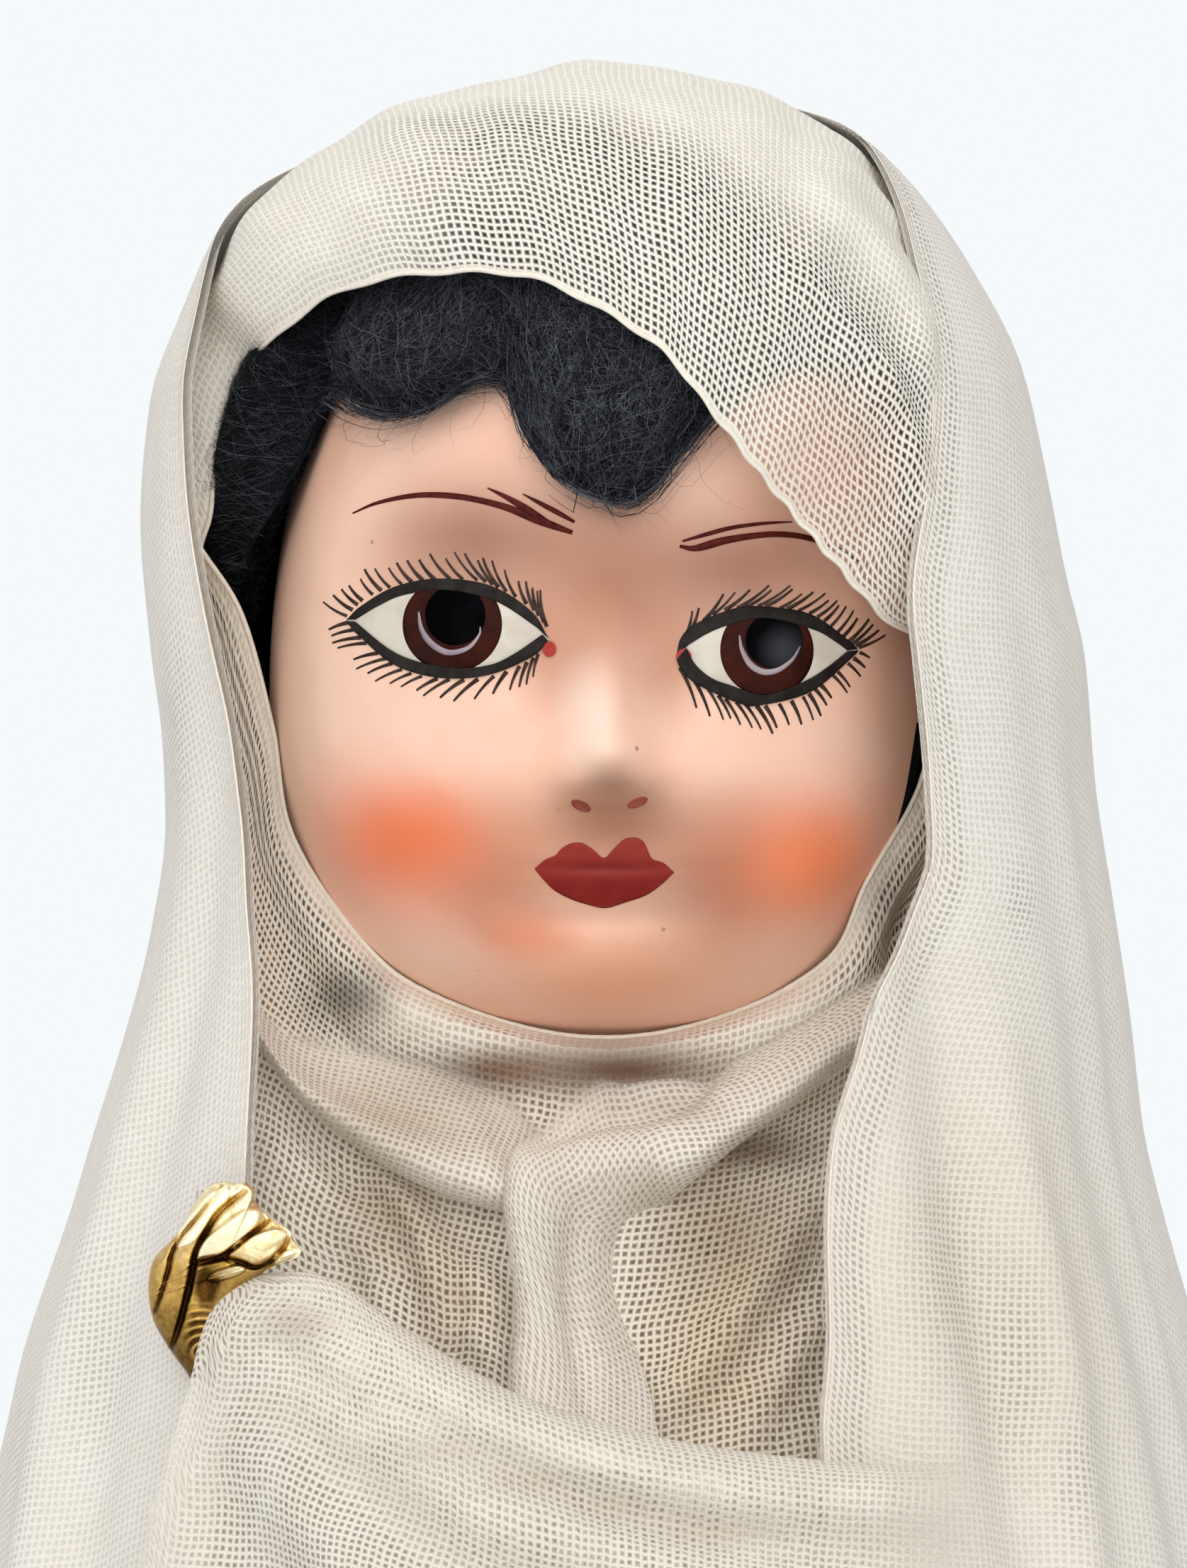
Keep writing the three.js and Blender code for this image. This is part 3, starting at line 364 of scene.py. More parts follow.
def new_group(name, inputs, outputs):
    """A node group with these sockets; gives its tree, the values that come in and the sockets to fill."""
    group = bpy.data.node_groups.new(name, "ShaderNodeTree")
    for label, kind, value in inputs:
        entry = group.interface.new_socket(label, in_out="INPUT", socket_type=kind)
        if value is not None:
            entry.default_value = value
    for label in outputs:
        group.interface.new_socket(label, in_out="OUTPUT", socket_type=FLOAT)
    return group, group.nodes.new("NodeGroupInput").outputs, group.nodes.new("NodeGroupOutput").inputs


def give(group, outputs, **values):
    """Fills the group's named outputs."""
    for name, value in values.items():
        group.links.new(value, outputs[name])
    print("group:", group.name)


def place(tree, group, inputs):
    """A group node in a material, with its inputs filled; gives its outputs."""
    return put(tree, "ShaderNodeGroup", inputs, node_tree=group).outputs


# %% [markdown]
# ## Paint film
#
# Head and limbs are pressed paper under a ground of chalk and a coat of oil paint. Up close such a film is a
# little uneven: soft clouds of tone, a fine grain, and a few dark specks of dust caught in it. Skin, lips and
# eyes share this, so it is a node group.

# %% Paint film group
paint_film, film_in, film_out = new_group(
    "paint film",
    [("Position", VECTOR, None), ("Cloud Size", FLOAT, 0.008), ("Specks", FLOAT, 1.0)],
    ["Tone", "Grain", "Speck"],
)
cloud_scale = calc(paint_film, "DIVIDE", 1.0, film_in["Cloud Size"])
clouds = noise(paint_film, film_in["Position"], cloud_scale, 4.0, 0.6)
grain = noise(paint_film, film_in["Position"], 2400.0, 3.0, 0.65)
dust_cells = put(paint_film, "ShaderNodeTexVoronoi", {"Vector": film_in["Position"], "Scale": 260.0})
chosen = edge(paint_film, noise(paint_film, dust_cells.outputs["Position"], 900.0, 0.0), 0.52, 0.54)
dust = calc(paint_film, "MULTIPLY", edge(paint_film, dust_cells.outputs["Distance"], 0.075, 0.03), chosen)
specks = calc(paint_film, "MULTIPLY", dust, film_in["Specks"])
give(paint_film, film_out, Tone=clouds, Grain=grain, Speck=specks)

# %% Painted finishes
PAINT_GRAIN = 0.015  # depth of the brushed paint's grain, in millimetres


def paint(name, colour, second, roughness, cloud=0.003, gloss=0.3, wear_and_glare=()):
    """A brushed paint: two close colours in clouds, spots of colour laid over them, and the film's grain as
    relief.
    """
    material, tree, shader = finish(name, roughness=roughness, specular_ior_level=gloss)
    coords = own_coords(tree)
    coat = place(tree, paint_film, {"Position": coords, "Cloud Size": cloud, "Specks": 0.0})
    mixed = tint(tree, edge(tree, coat["Tone"], 0.35, 0.65), colour, second)
    feed(tree, shader, coat["Grain"], PAINT_GRAIN, base_color=stains_and_painted_light(tree, coords, mixed, wear_and_glare))
    return material


EYE_WHITE = paint("eye white paint", "D2CABB", "C4BAAB", 0.4)
IRIS = paint("iris paint", "290D08", "3C160F", 0.4, gloss=0.06)
# the pupils carry a painted reflection: a grey glare on the left pupil
PUPIL = paint("pupil paint", "050506", "0B0B0E", 0.5, gloss=0.0,
              wear_and_glare=[("4C4D52", 0.6, (12.6, -24, 297.5), (2.4, 8, 2.3))])
CRESCENT = paint("eye light paint", "8F8088", "A7979C", 0.35)
LINER = paint("eye line paint", "17120F", "272220", 0.5, cloud=0.0012, gloss=0.12)
LASH = paint("lash paint", "2B1F1B", "46362F", 0.55, cloud=0.0008, gloss=0.12)
BROW = paint("brow paint", "3A0E0B", "561A13", 0.55, cloud=0.0008, gloss=0.12)
TEAR = paint("tear corner paint", "B5352E", "8E2A24", 0.35)
NOSTRIL = paint("nostril paint", "84392E", "9A4E38", 0.45)

# %% [markdown]
# ## Head
#
# The head is an egg: a round jaw, a taller skull and a short neck below. The pressed features are low, so
# they are written as a relief pushed forward from the egg. Because the push is straight along Y, the painted
# eyes and lips can use the same function to lie on the skin.

# %% Shape of the head
head_low, head_high = (np.array(corner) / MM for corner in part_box("head_back_shell"))
CROWN_Z, NECK_SEAT_Z = head_high[2], head_low[2]
SKULL_HEIGHT, CHIN_DROP = 41.0, 25.9  # from the face's widest level up to the crown and down to the chin
FACE_Z = CROWN_Z - SKULL_HEIGHT
JAW, NECK = 24.5, 9.5  # half widths
FRONT_DEPTH, BACK_DEPTH = 25.5, head_high[1]
JAW_POWER = 2.4


def head_radius(z):
    """Half width of the egg: an ellipse above the widest level, a fuller one of power JAW_POWER below."""
    rise = np.abs(z - FACE_Z) / np.where(z > FACE_Z, CROWN_Z - FACE_Z, CHIN_DROP)
    power = np.where(z > FACE_Z, 2.0, JAW_POWER)
    return JAW * np.maximum(1 - rise**power, 0) ** (1 / power)


def bump(x, z, centre, size):
    """A round swelling, 1 at centre and falling away as a bell curve of that size."""
    return np.exp(-(((x - centre[0]) / size[0]) ** 2) - ((z - centre[1]) / size[1]) ** 2)


NOSE_LINE = [
    (280, 0), (285.6, 0.1), (287.2, 1.3), (288.6, 2.9), (290, 3.3), (292.5, 2.5), (296, 1.4), (300, 0.6),
    (305, 0.1), (312, 0),
]
NOSE_SPREAD = [(280, 3.4), (287, 3.5), (290, 3.0), (294, 2.4), (300, 2.2), (312, 3.0)]
FEATURES = {
    "wings of the nose": (0.6, [(-2.6, 287.9), (2.6, 287.9)], (1.5, 1.3)),
    "eyes": (0.45, [(-11.3, 298.8), (11.2, 297)], (6.5, 3.4)),
    "hollows over the eyes": (-0.75, [(-9, 303.6), (9, 302)], (7, 2.6)),
    "inner corners": (-0.5, [(-5, 296), (5, 295)], (2.4, 4)),
    "cheeks": (0.9, [(-12.5, 284.5), (12.5, 284)], (8, 7)),
    "mouth": (0.9, [(-0.2, 282)], (5.5, 3)),
    "line of the mouth": (-0.35, [(-0.2, 282.1)], (4.6, 0.45)),
    "chin": (1.5, [(0, 275.2)], (7, 3.6)),
    "dip over the chin": (-0.35, [(0, 278.4)], (4.5, 0.9)),
}  # height, centres and size


def features(x, z):
    """How far the features stand in front of the egg: nose, listed swellings and a faint unevenness."""
    push = smooth(NOSE_LINE, z) * bell(x, 0, smooth(NOSE_SPREAD, z))
    for height, centres, size in FEATURES.values():
        push = push + height * sum(bump(x, z, centre, size) for centre in centres)
    return push + 0.06 * np.sin(x * 0.9 + 1.3 * np.sin(z * 0.5)) * np.sin(z * 0.7 + 0.4 * x)


def skin_y(x, z):
    """The face's surface: the front of the egg, pushed forward by the features where it faces forward."""
    r = np.maximum(head_radius(z), 1e-6)
    facing = np.sqrt(np.maximum(1 - (x / r) ** 2, 0))
    return -FRONT_DEPTH / JAW * r * facing - features(x, z) * step(0.15, 0.55, facing)


# %% Painted skin
SKIN_WASHES_AND_PAINTED_LIGHT = [
    # painted light on the temples and the sides of the jaw
    ("FFDCC6", 1.0, (-25, -9, 288), (16, 24, 26)),
    ("FCC8AC", 1.0, (25, -4, 284), (10, 16, 22)),
    # taupe eye shadow over the eyes, deepened as painted shade under the brows; painted shade between
    # the eyes and beside the nose, and a painted highlight on its ridge
    ("B0765A", 0.9, (0, -25, 301.5), (11, 9, 13)),
    ("87563F", 1.0, (-12.6, -25, 305.2), (18.5, 12, 8.5)),
    ("87563F", 1.0, (12.2, -25, 303.2), (16.5, 12, 8.5)),
    ("B87A5E", 0.45, (-4.6, -24, 298), (3.4, 8, 7)),
    ("B87A5E", 0.6, (4.6, -24, 297), (3.4, 8, 7)),
    ("F6D9C6", 0.85, (-1.4, -28, 292.6), (3.4, 8, 6)),
    # painted shade round the mouth, warm chin, and painted light on the jaw
    ("B97F60", 0.75, (0.3, -25, 283.6), (17, 13, 7)),
    ("9C6147", 0.85, (9.5, -22, 281.8), (10, 12, 9)),
    ("B87454", 0.7, (-8.5, -22, 281.4), (9, 12, 9)),
    ("EBA27E", 0.9, (0, -22, 273), (18, 14, 7)),
    ("FCD6C0", 0.8, (-17, -14, 277), (10, 14, 8)),
    ("F8CBB0", 0.8, (15, -14, 276), (9, 14, 8)),
    # rouge
    ("EE7A50", 0.72, (-16.4, -18, 283.2), (15, 16, 9.5)),
    ("EC7440", 0.8, (-13.6, -19, 284.6), (7.5, 13, 5.5)),
    ("FF9870", 0.75, (15, -19, 282.4), (12.5, 16, 9)),
    ("FC8E5E", 0.85, (14.8, -20, 282.5), (7, 13, 5.5)),
    ("EE8158", 0.8, (-6.5, -24, 277), (6, 9, 3.2)),
    # painted shadow under the nose
    ("9A6E57", 0.72, (0.3, -28, 287.4), (6, 7, 3.6)),
    ("8A6B58", 0.3, (0.3, -28, 288.5), (2.8, 6, 2)),
    ("966349", 0.95, (0.4, -26, 285.2), (7.5, 7, 3.2)),
]


def skin_paint():
    """Satin flesh paint with its washes of rouge, painted shade and painted light laid on in turn, dark
    specks, and gloss that follows the clouds.
    """
    material, tree, shader = finish(
        "painted skin", roughness=0.45, specular_ior_level=0.28, coat_weight=0.06, coat_roughness=0.3)
    coords = own_coords(tree)
    coat = place(tree, paint_film, {"Position": coords, "Cloud Size": 0.012, "Specks": 1.0})
    colour = tint(tree, edge(tree, coat["Tone"], 0.3, 0.7), "EDBA9F", "F2C7B0")
    colour = stains_and_painted_light(tree, coords, colour, SKIN_WASHES_AND_PAINTED_LIGHT)
    colour = tint(tree, calc(tree, "MULTIPLY", coat["Speck"], 0.6), colour, "5A3626")
    gloss = scaled(tree, coat["Tone"], 0.38, 0.54)
    feed(tree, shader, coat["Grain"], 0.02, base_color=colour, roughness=gloss)
    return material


def head_shape(rows=190, columns=340, neck_rows=24):
    """The egg by polar angle from the crown and turn about Z, then the neck straight down to its seat."""
    neck_angle = np.arccos(-((1 - (NECK / JAW) ** JAW_POWER) ** (1 / JAW_POWER)))
    angle = np.linspace(0, neck_angle, rows)
    height = np.where(angle < np.pi / 2, CROWN_Z - FACE_Z, CHIN_DROP)
    egg_z = FACE_Z + height * np.cos(angle)
    neck_z = np.linspace(egg_z[-1], NECK_SEAT_Z, neck_rows)[1:]
    z = np.concatenate([egg_z, neck_z])[:, None]
    on_neck = np.arange(len(z))[:, None] >= rows
    r = np.maximum(head_radius(z), np.where(on_neck, NECK, 0))
    turn = turn_round(columns, -np.pi)
    x = r * np.sin(turn)
    behind = BACK_DEPTH / JAW * r * -np.cos(turn)
    front = np.where(on_neck, -FRONT_DEPTH / JAW * r * np.cos(turn), skin_y(x, z))
    return xyz(x, np.where(np.cos(turn) > 0, front, behind), z)


head = piece("head", head_shape(), skin_paint(), flip=True)
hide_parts("face_shell", "head_back_shell")
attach(head, "head")

# %% [markdown]
# ## Painted eyes, brows and mouth
#
# The maker painted them freehand: almond whites, round brown irises with a pale crescent, dark lines round
# the lids, and short strokes for lashes and brows. They could be masks in the skin's finish, but a curve
# drawn in nodes is hard to steer. So each coat of paint is a thin film laid on the skin, a few hundredths of
# a millimetre above the coat below it, with the outline of a brush stroke.

# %% Films of paint
FIRST_COAT, SECOND_COAT, THIRD_COAT, TOP_COAT = 0.03, 0.05, 0.07, 0.09  # lift above the skin, in millimetres
LIP_COAT, CORNER_DAB = 0.06, 0.17


def on_skin(flat, lift):
    """Points (x, z) seen from the front, laid on the face and lifted by that much."""
    x, z = flat[..., 0], flat[..., 1]
    return xyz(x, skin_y(x, z) - lift, z)


def between(first, second, rows):
    """Flat grid from one curve to the other in straight steps."""
    share = share_down(rows)[..., None]
    return first * (1 - share) + second * share


def ellipse(centre, size, tilt=0.0, rings=14, sides=64):
    """Flat ellipse of that centre, half size and tilt, as rings from its middle out."""
    share, turn = share_down(rings), turn_round(sides)
    across, up = share * size[0] * np.cos(turn), share * size[1] * np.sin(turn)
    x = centre[0] + across * np.cos(tilt) - up * np.sin(tilt)
    z = centre[1] + across * np.sin(tilt) + up * np.cos(tilt)
    return np.stack([x, z], axis=-1)


def strokes(paths, widths):
    """Flat brush strokes: paths[stroke, point, xz] widened to each side by half of widths[stroke, point]."""
    along = np.gradient(paths, axis=1)
    along /= np.linalg.norm(along, axis=2, keepdims=True)
    side = np.stack([-along[..., 1], along[..., 0]], axis=-1) * widths[..., None] / 2
    return np.stack([paths + side, paths - side], axis=2)


def film(name, flats, material, lift):
    """A coat of paint from flat grids, closed behind so that it is a thin solid on the head."""
    parts = [piece(name, on_skin(flat, lift), material) for flat in flats]
    made = parts[0]
    if len(parts) > 1:
        with bpy.context.temp_override(active_object=made, selected_editable_objects=parts):
            bpy.ops.object.join()
    rim = made.modifiers.new("film", "SOLIDIFY")
    rim.thickness = lift * MM
    rim.offset = 1.0 if made.data.polygons[0].normal.y > 0 else -1.0
    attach(made, "head")
    return made


# %% Eyes
RIGHT_EYE = {
    "upper": [(-18.6, 299.7), (-17.5, 300.7), (-15, 302.05), (-11.8, 302.56), (-8.2, 302), (-5.4, 300.2),
              (-4.2, 298.3)],
    "lower": [(-18.6, 299.6), (-17.5, 298.4), (-15, 296.4), (-11.8, 295.5), (-8.4, 295.7), (-5.3, 297),
              (-4.2, 298.1)],
    "white upper": [(-17.95, 299.7), (-16.3, 300.65), (-14.5, 301.4), (-11.5, 301.75), (-8, 300.95),
                    (-5.3, 299.25), (-4.6, 298.65)],
    "white lower": [(-17.95, 299.55), (-15.6, 297.65), (-13.7, 296.76), (-11, 296.2), (-8.4, 296.4),
                    (-6.7, 297.14), (-4.6, 298.55)],
    "iris": ((-11, 299.3), (3.54, 3.4)),
    "pupil": ((-10.78, 299.95), (2.15, 2.15)),
    "crescent": [(-13.4, 300.2), (-13.2, 299), (-12.5, 297.95), (-11.3, 297.3), (-9.9, 297.6), (-9.1, 298.5),
                 (-9, 299.1)],
    "tear": ((-4.15, 297.52), (0.45, 0.55)),
    "upper roots": [(-18.6, 299.95), (-17.2, 301.2), (-15, 302.1), (-12.4, 302.5), (-9.1, 302.4),
                    (-7.5, 301.8), (-5.3, 300.4), (-4.3, 299.1)],
    "upper tips": [(-20.1, 300.84), (-18.25, 302.44), (-16.1, 303.46), (-13.46, 303.84), (-10.72, 304.41),
                   (-8.49, 303.77), (-5.87, 302.18), (-4.72, 301.48)],
    "lower roots": [(-18.5, 299.5), (-17.16, 298), (-15.6, 296.76), (-13.84, 295.8), (-11.3, 295.4),
                    (-8.5, 295.5), (-6.06, 296.4), (-4.85, 297.2)],
    "lower tips": [(-20, 299), (-19.07, 297.72), (-17.42, 296.12), (-15.63, 294.97), (-12.95, 294.4),
                   (-9.95, 294.02), (-6.7, 294.72), (-5.23, 295.55)],
}
LEFT_EYE = {
    "upper": [(4.85, 296.9), (5.2, 298.35), (6.3, 299.37), (8.9, 300.4), (10.8, 300.58), (14.35, 300.07),
              (17.16, 298.2), (17.8, 297.6)],
    "lower": [(4.85, 296.8), (5.2, 296.06), (6.3, 295.03), (9.25, 293.7), (10.8, 293.57), (14.35, 294.53),
              (17.3, 296.95), (17.8, 297.5)],
    "white upper": [(5.55, 297.7), (7, 298.6), (8.6, 299.24), (11.3, 299.75), (14.67, 298.93), (16.2, 298.1),
                    (17.05, 297.5)],
    "white lower": [(5.55, 297.6), (6.2, 296.44), (7.3, 295.5), (8.6, 295), (11.2, 294.3), (13.97, 295.3),
                    (15.6, 296.3), (17.05, 297.45)],
    "iris": ((11.28, 297.46), (3.33, 3.3)),
    "pupil": ((11.8, 298.15), (2.05, 2.0)),
    "crescent": [(9.32, 298.5), (9.5, 297.5), (10.1, 296.45), (11, 295.93), (12.06, 296.06), (13.08, 296.8),
                 (13.65, 297.75)],
    "tear": ((5.4, 296.95), (0.52, 0.6)),
    "upper roots": [(5.3, 298.2), (7.5, 300), (10, 300.55), (11.9, 300.5), (14.35, 300.1), (15.9, 299.2),
                    (17.16, 298.2), (17.9, 297.7)],
    "upper tips": [(5.74, 300.26), (9.06, 301.54), (12.19, 301.99), (13.78, 301.73), (15.89, 301.16),
                   (16.91, 300.52), (18.44, 299.63), (19.65, 298.54)],
    "lower roots": [(5.1, 296.2), (7.53, 294.4), (9.38, 293.7), (11.4, 293.55), (13.65, 294.1), (15, 294.9),
                    (16.65, 296.2), (18, 297.4)],
    "lower tips": [(6.19, 293.57), (8.55, 292.48), (10.53, 291.91), (12.25, 291.91), (14.35, 292.48),
                   (15.82, 293.89), (17.54, 295.16), (18.82, 297)],
}
EYES = (RIGHT_EYE, LEFT_EYE)
CRESCENT_WIDTHS = [0.1, 0.3, 0.42, 0.42, 0.34, 0.22, 0.08]
LASHES = [
    (RIGHT_EYE, "upper", 24, 0.2, 1),
    (RIGHT_EYE, "lower", 20, -0.15, 2),
    (LEFT_EYE, "upper", 22, -0.15, 3),
    (LEFT_EYE, "lower", 20, 0.15, 4),
]  # eye, lid, number of strokes, bend and random seed


def eye_white(eye):
    """From the lower lid to the upper one."""
    return between(curve(eye["lower"], 64), curve(eye["upper"], 64), 20)


def within_lids(eye, part):
    """The eye's iris or pupil: an ellipse, cut off where it passes the lids."""
    x, z = np.moveaxis(ellipse(*eye[part]), -1, 0)
    return np.stack([x, np.clip(z, smooth(eye["lower"], x), smooth(eye["upper"], x))], axis=-1)


def lid_lines(eye):
    """The dark bands round the eye: from the outer outline in to the edge of the white, above and below."""
    return [between(curve(eye[lid], 64), curve(eye["white " + lid], 64), 6) for lid in ("upper", "lower")]


def lashes(eye, lid, count, bend, seed):
    """Strokes from roots to tips, bowed sideways by bend and a little uneven."""
    chance = np.random.default_rng(seed)
    t = np.clip(np.linspace(0, 1, count) + chance.normal(0, 0.006, count), 0, 1)
    root, tip = spline(eye[lid + " roots"], t), spline(eye[lid + " tips"], t)
    tip = root + (tip - root) * chance.uniform(0.82, 1.18, count)[:, None]
    share = np.linspace(0, 1, 7)[None, :, None]
    side = np.stack([-(tip - root)[:, 1], (tip - root)[:, 0]], axis=-1)[:, None]
    paths = root[:, None] + share * (tip - root)[:, None] + bend * share * (1 - share) * side
    widths = np.linspace(0.27, 0.12, 7) * chance.uniform(0.8, 1.2, count)[:, None]
    return strokes(paths, widths)


def line(knots, widths, count=40):
    """One brush stroke along a curve, whose width follows the list."""
    return strokes(curve(knots, count)[None], spline(np.array(widths), np.linspace(0, 1, count))[None])


film("eye_whites", [eye_white(eye) for eye in EYES], EYE_WHITE, FIRST_COAT)
film("irises", [within_lids(eye, "iris") for eye in EYES], IRIS, SECOND_COAT)
film("pupils", [within_lids(eye, "pupil") for eye in EYES], PUPIL, THIRD_COAT)
film("eye_lights", [line(eye["crescent"], CRESCENT_WIDTHS) for eye in EYES], CRESCENT, TOP_COAT)
film("eye_lines", [band for eye in EYES for band in lid_lines(eye)], LINER, TOP_COAT)
film("tear_corners", [ellipse(*eye["tear"]) for eye in EYES], TEAR, CORNER_DAB)
film("lashes", [lashes(*row) for row in LASHES], LASH, SECOND_COAT)

# %% Brows, nostrils and lips
RIGHT_BROW = [
    ([(-18.2, 307.3), (-16.5, 307.98), (-14.2, 308.43), (-12.2, 308.5), (-9.9, 308.25), (-7.3, 307.6),
      (-4.8, 306.6), (-2.5, 305.75)], [0.1, 0.26, 0.36, 0.42, 0.42, 0.5, 0.6, 0.3]),
    ([(-8.5, 308.95), (-7.3, 308.35), (-6, 307.6), (-4.8, 306.8), (-3.5, 306)], [0.1, 0.34, 0.5, 0.5, 0.2]),
    ([(-6, 308.5), (-4.8, 307.85), (-3.5, 307.15), (-2.35, 306.5)], [0.08, 0.3, 0.36, 0.2]),
]
LEFT_BROW = [
    ([(5.1, 304.8), (6.2, 304.65), (8.2, 305.2), (10.3, 305.56), (12.1, 305.7), (14.1, 305.5), (16.2, 304.8),
      (18, 303.8)], [0.2, 0.55, 0.5, 0.42, 0.4, 0.38, 0.3, 0.1]),
    ([(5.3, 305.15), (7, 305.65), (8.8, 306.13), (11, 306.45), (13.1, 306.6)], [0.15, 0.3, 0.28, 0.22, 0.08]),
]
UPPER_LIP = [
    (-5.14, 282.05), (-4.4, 282.65), (-3.7, 282.95), (-3.3, 283.4), (-2.6, 283.8), (-1.8, 283.82),
    (-1.0, 283.35), (-0.27, 282.75), (0.4, 283.4), (1.1, 284.05), (1.85, 284.22), (2.46, 284), (2.8, 283.4),
    (3.15, 282.7), (3.95, 282.4), (4.66, 281.8),
]
LOWER_LIP = [
    (-5.14, 281.95), (-4.6, 281.3), (-3.8, 280.5), (-2.6, 279.85), (-1.2, 279.4), (-0.1, 279.22),
    (1.2, 279.6), (2.65, 280.1), (3.7, 280.8), (4.66, 281.7),
]
LIP_DEEPENS = (282.6, 280.6)  # heights between which the paint goes over to the lower lip's red
LIP_SEAM = ("5E0407", 0.6, (0, -27, 282.1), (5, 9, 0.5))
NOSTRILS = [((-1.89, 286.45), (0.74, 0.34), -0.42), ((2.1, 286.67), (0.76, 0.31), 0.38)]  # centre, size, tilt


def lip_paint():
    """Crimson, deeper on the lower lip, faintly clouded, with a darker line between the lips."""
    material, tree, shader = finish("lip paint", roughness=0.4, specular_ior_level=0.25)
    coords = own_coords(tree)
    coat = place(tree, paint_film, {"Position": coords, "Cloud Size": 0.002, "Specks": 0.0})
    deep = edge(tree, split(tree, coords)["Z"], *np.array(LIP_DEEPENS) * MM)
    colour = tint(tree, deep, "8E261A", "7A0A04")
    colour = tint(tree, edge(tree, coat["Tone"], 0.4, 0.75), colour, "84170F")
    feed(tree, shader, coat["Grain"], PAINT_GRAIN, base_color=stains_and_painted_light(tree, coords, colour, [LIP_SEAM]))
    return material


film("brows", [line(*stroke) for stroke in RIGHT_BROW + LEFT_BROW], BROW, SECOND_COAT)
film("nostrils", [ellipse(*hole, 6, 32) for hole in NOSTRILS], NOSTRIL, SECOND_COAT)
film("lips", [between(curve(LOWER_LIP, 72), curve(UPPER_LIP, 72), 18)], lip_paint(), LIP_COAT)

# %% [markdown]
# ## Wig
#
# The wig is black mohair, felted into soft locks: two at the temples, a scalloped fringe, and a bob that
# shows dark through the veil. A puffed base gives the mass of each lock. Thousands of fine curled ribbons on
# top give the fuzzy edge and the grey-blue lights of real hair. Blender could grow hair instead, but ribbons
# of plain faces go through the export as they are.

# %% Mohair
def mohair(name, dark, light):
    """Matt black hair: each ribbon takes its own tone, from near black to slate."""
    material, tree, shader = finish(name, roughness=0.7, specular_ior_level=0.08)
    fleck = noise(tree, own_coords(tree), 900.0, 3.0)
    share = calc(tree, "MULTIPLY", attribute(tree, "tone"), calc(tree, "ADD", fleck, 0.4))
    feed(tree, shader, fleck, 0.25, base_color=tint(tree, share, dark, light))
    return material


WIG_BASE = mohair("felted mohair", "050506", "101114")
HAIR = mohair("mohair fibre", "09090B", "6A6D77")

# %% Hairline and puffed locks
# Turn from the front in degrees, and height. From 67 to 70 degrees, under the hood, the line doubles back.
HAIRLINE = [
    (-180, 276), (-150, 274.5), (-135, 270.8), (-120, 270), (-103, 270.5), (-97, 274), (-92, 283),
    (-86, 293.5), (-83, 299), (-77, 304.5), (-70.5, 309), (-67.5, 313), (-64.5, 316.9), (-58, 316.6),
    (-48, 315.3), (-40, 314.7), (-33, 315.1), (-26, 316.9), (-20.5, 317.4), (-14.5, 313.6), (-8, 310.2),
    (-2, 308.7), (3, 308.2), (7.5, 309.3), (12.5, 311.8), (19.5, 315), (29, 317.6), (45, 318.5), (60, 317),
    (69, 311), (70, 303), (67, 295), (68, 287), (76, 281), (92, 276), (110, 274.5), (130, 274.5), (150, 276),
    (180, 276),
]
PARTINGS = [(-65, 5.0), (-20.5, 5.0), (29, 5.0)]
LOCK_DEPTH, LOCK_ROUNDING = 3.9, 4.5
BASE_TONE = 0.5
DEGREE = 0.38  # about how long one degree of turn is on the wig, in millimetres
HAIRLINE_POINTS = curve(HAIRLINE, 400)


def wig_radius(z):
    """Inner radius of the wig: the head above its widest level, and a bob that curls under below it."""
    hang = JAW - 3.0 * (np.maximum(FACE_Z - z, 0) / JAW) ** 2.5
    return np.where(z > FACE_Z, head_radius(z), hang)


def hair_depth(turn, z):
    """Thickness of the hair at a turn, in degrees, and a height.

    It rises as a quarter circle from the hairline to the full depth, dips along the partings, is flatter
    at the left temple and over the crown, and fuller at the right temple.
    """
    across = DEGREE * (turn[..., None] - HAIRLINE_POINTS[:, 0])
    away = np.sqrt((across**2 + (z[..., None] - HAIRLINE_POINTS[:, 1]) ** 2).min(axis=-1))
    inward = 1 - np.minimum(away / LOCK_ROUNDING, 1)
    depth = LOCK_DEPTH * np.sqrt(1 - inward**2)
    for middle, width in PARTINGS:
        depth = depth * (1 - 0.6 * (bell(turn, middle, width) * step(334, 318, z)))
    flatter = 0.45 * step(24, 38, turn) * step(100, 75, turn)
    fuller = 0.7 * step(-62, -80, turn) * step(-125, -100, turn)
    return depth * (1 - 0.55 * step(318, CROWN_Z, z)) * (1 - (flatter - fuller))


def hair_point(turn, z, lift):
    """Point on the wig at a turn from the front, in degrees, and a height, lifted off its surface."""
    depth = hair_depth(turn, z) + lift
    angle = np.radians(turn)
    r = wig_radius(z)
    deep = np.where(np.cos(angle) > 0, FRONT_DEPTH, BACK_DEPTH) / JAW
    x = (r + depth) * np.sin(angle)
    y = -(r * deep + depth) * np.cos(angle)
    crown = step(CROWN_Z - 9, CROWN_Z, z)
    return np.stack([x, y, z + depth * crown], axis=-1)


def wig_shape(rows=46, columns=420):
    """From the hairline up the head's meridians to the crown, in steps that widen on the way."""
    turn = np.linspace(-180, 180, columns + 1)
    bottom = smooth(HAIRLINE, turn)
    low = np.arccos(np.clip((bottom - FACE_Z) / (CROWN_Z - FACE_Z), -0.62, 1))
    z = FACE_Z + (CROWN_Z - FACE_Z) * np.cos(low * (1 - share_down(rows) ** 1.4))
    return hair_point(turn + 0 * z, z, 0.12)


wig = piece("wig", wig_shape(), WIG_BASE, flip=True)
note(wig, "tone", np.full(len(wig.data.vertices), BASE_TONE))
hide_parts("wig_cap", "temple_lock_right", "fringe_lock_right", "fringe_lock_centre",
            "fringe_lock_left", "temple_lock_left")
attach(wig, "head")

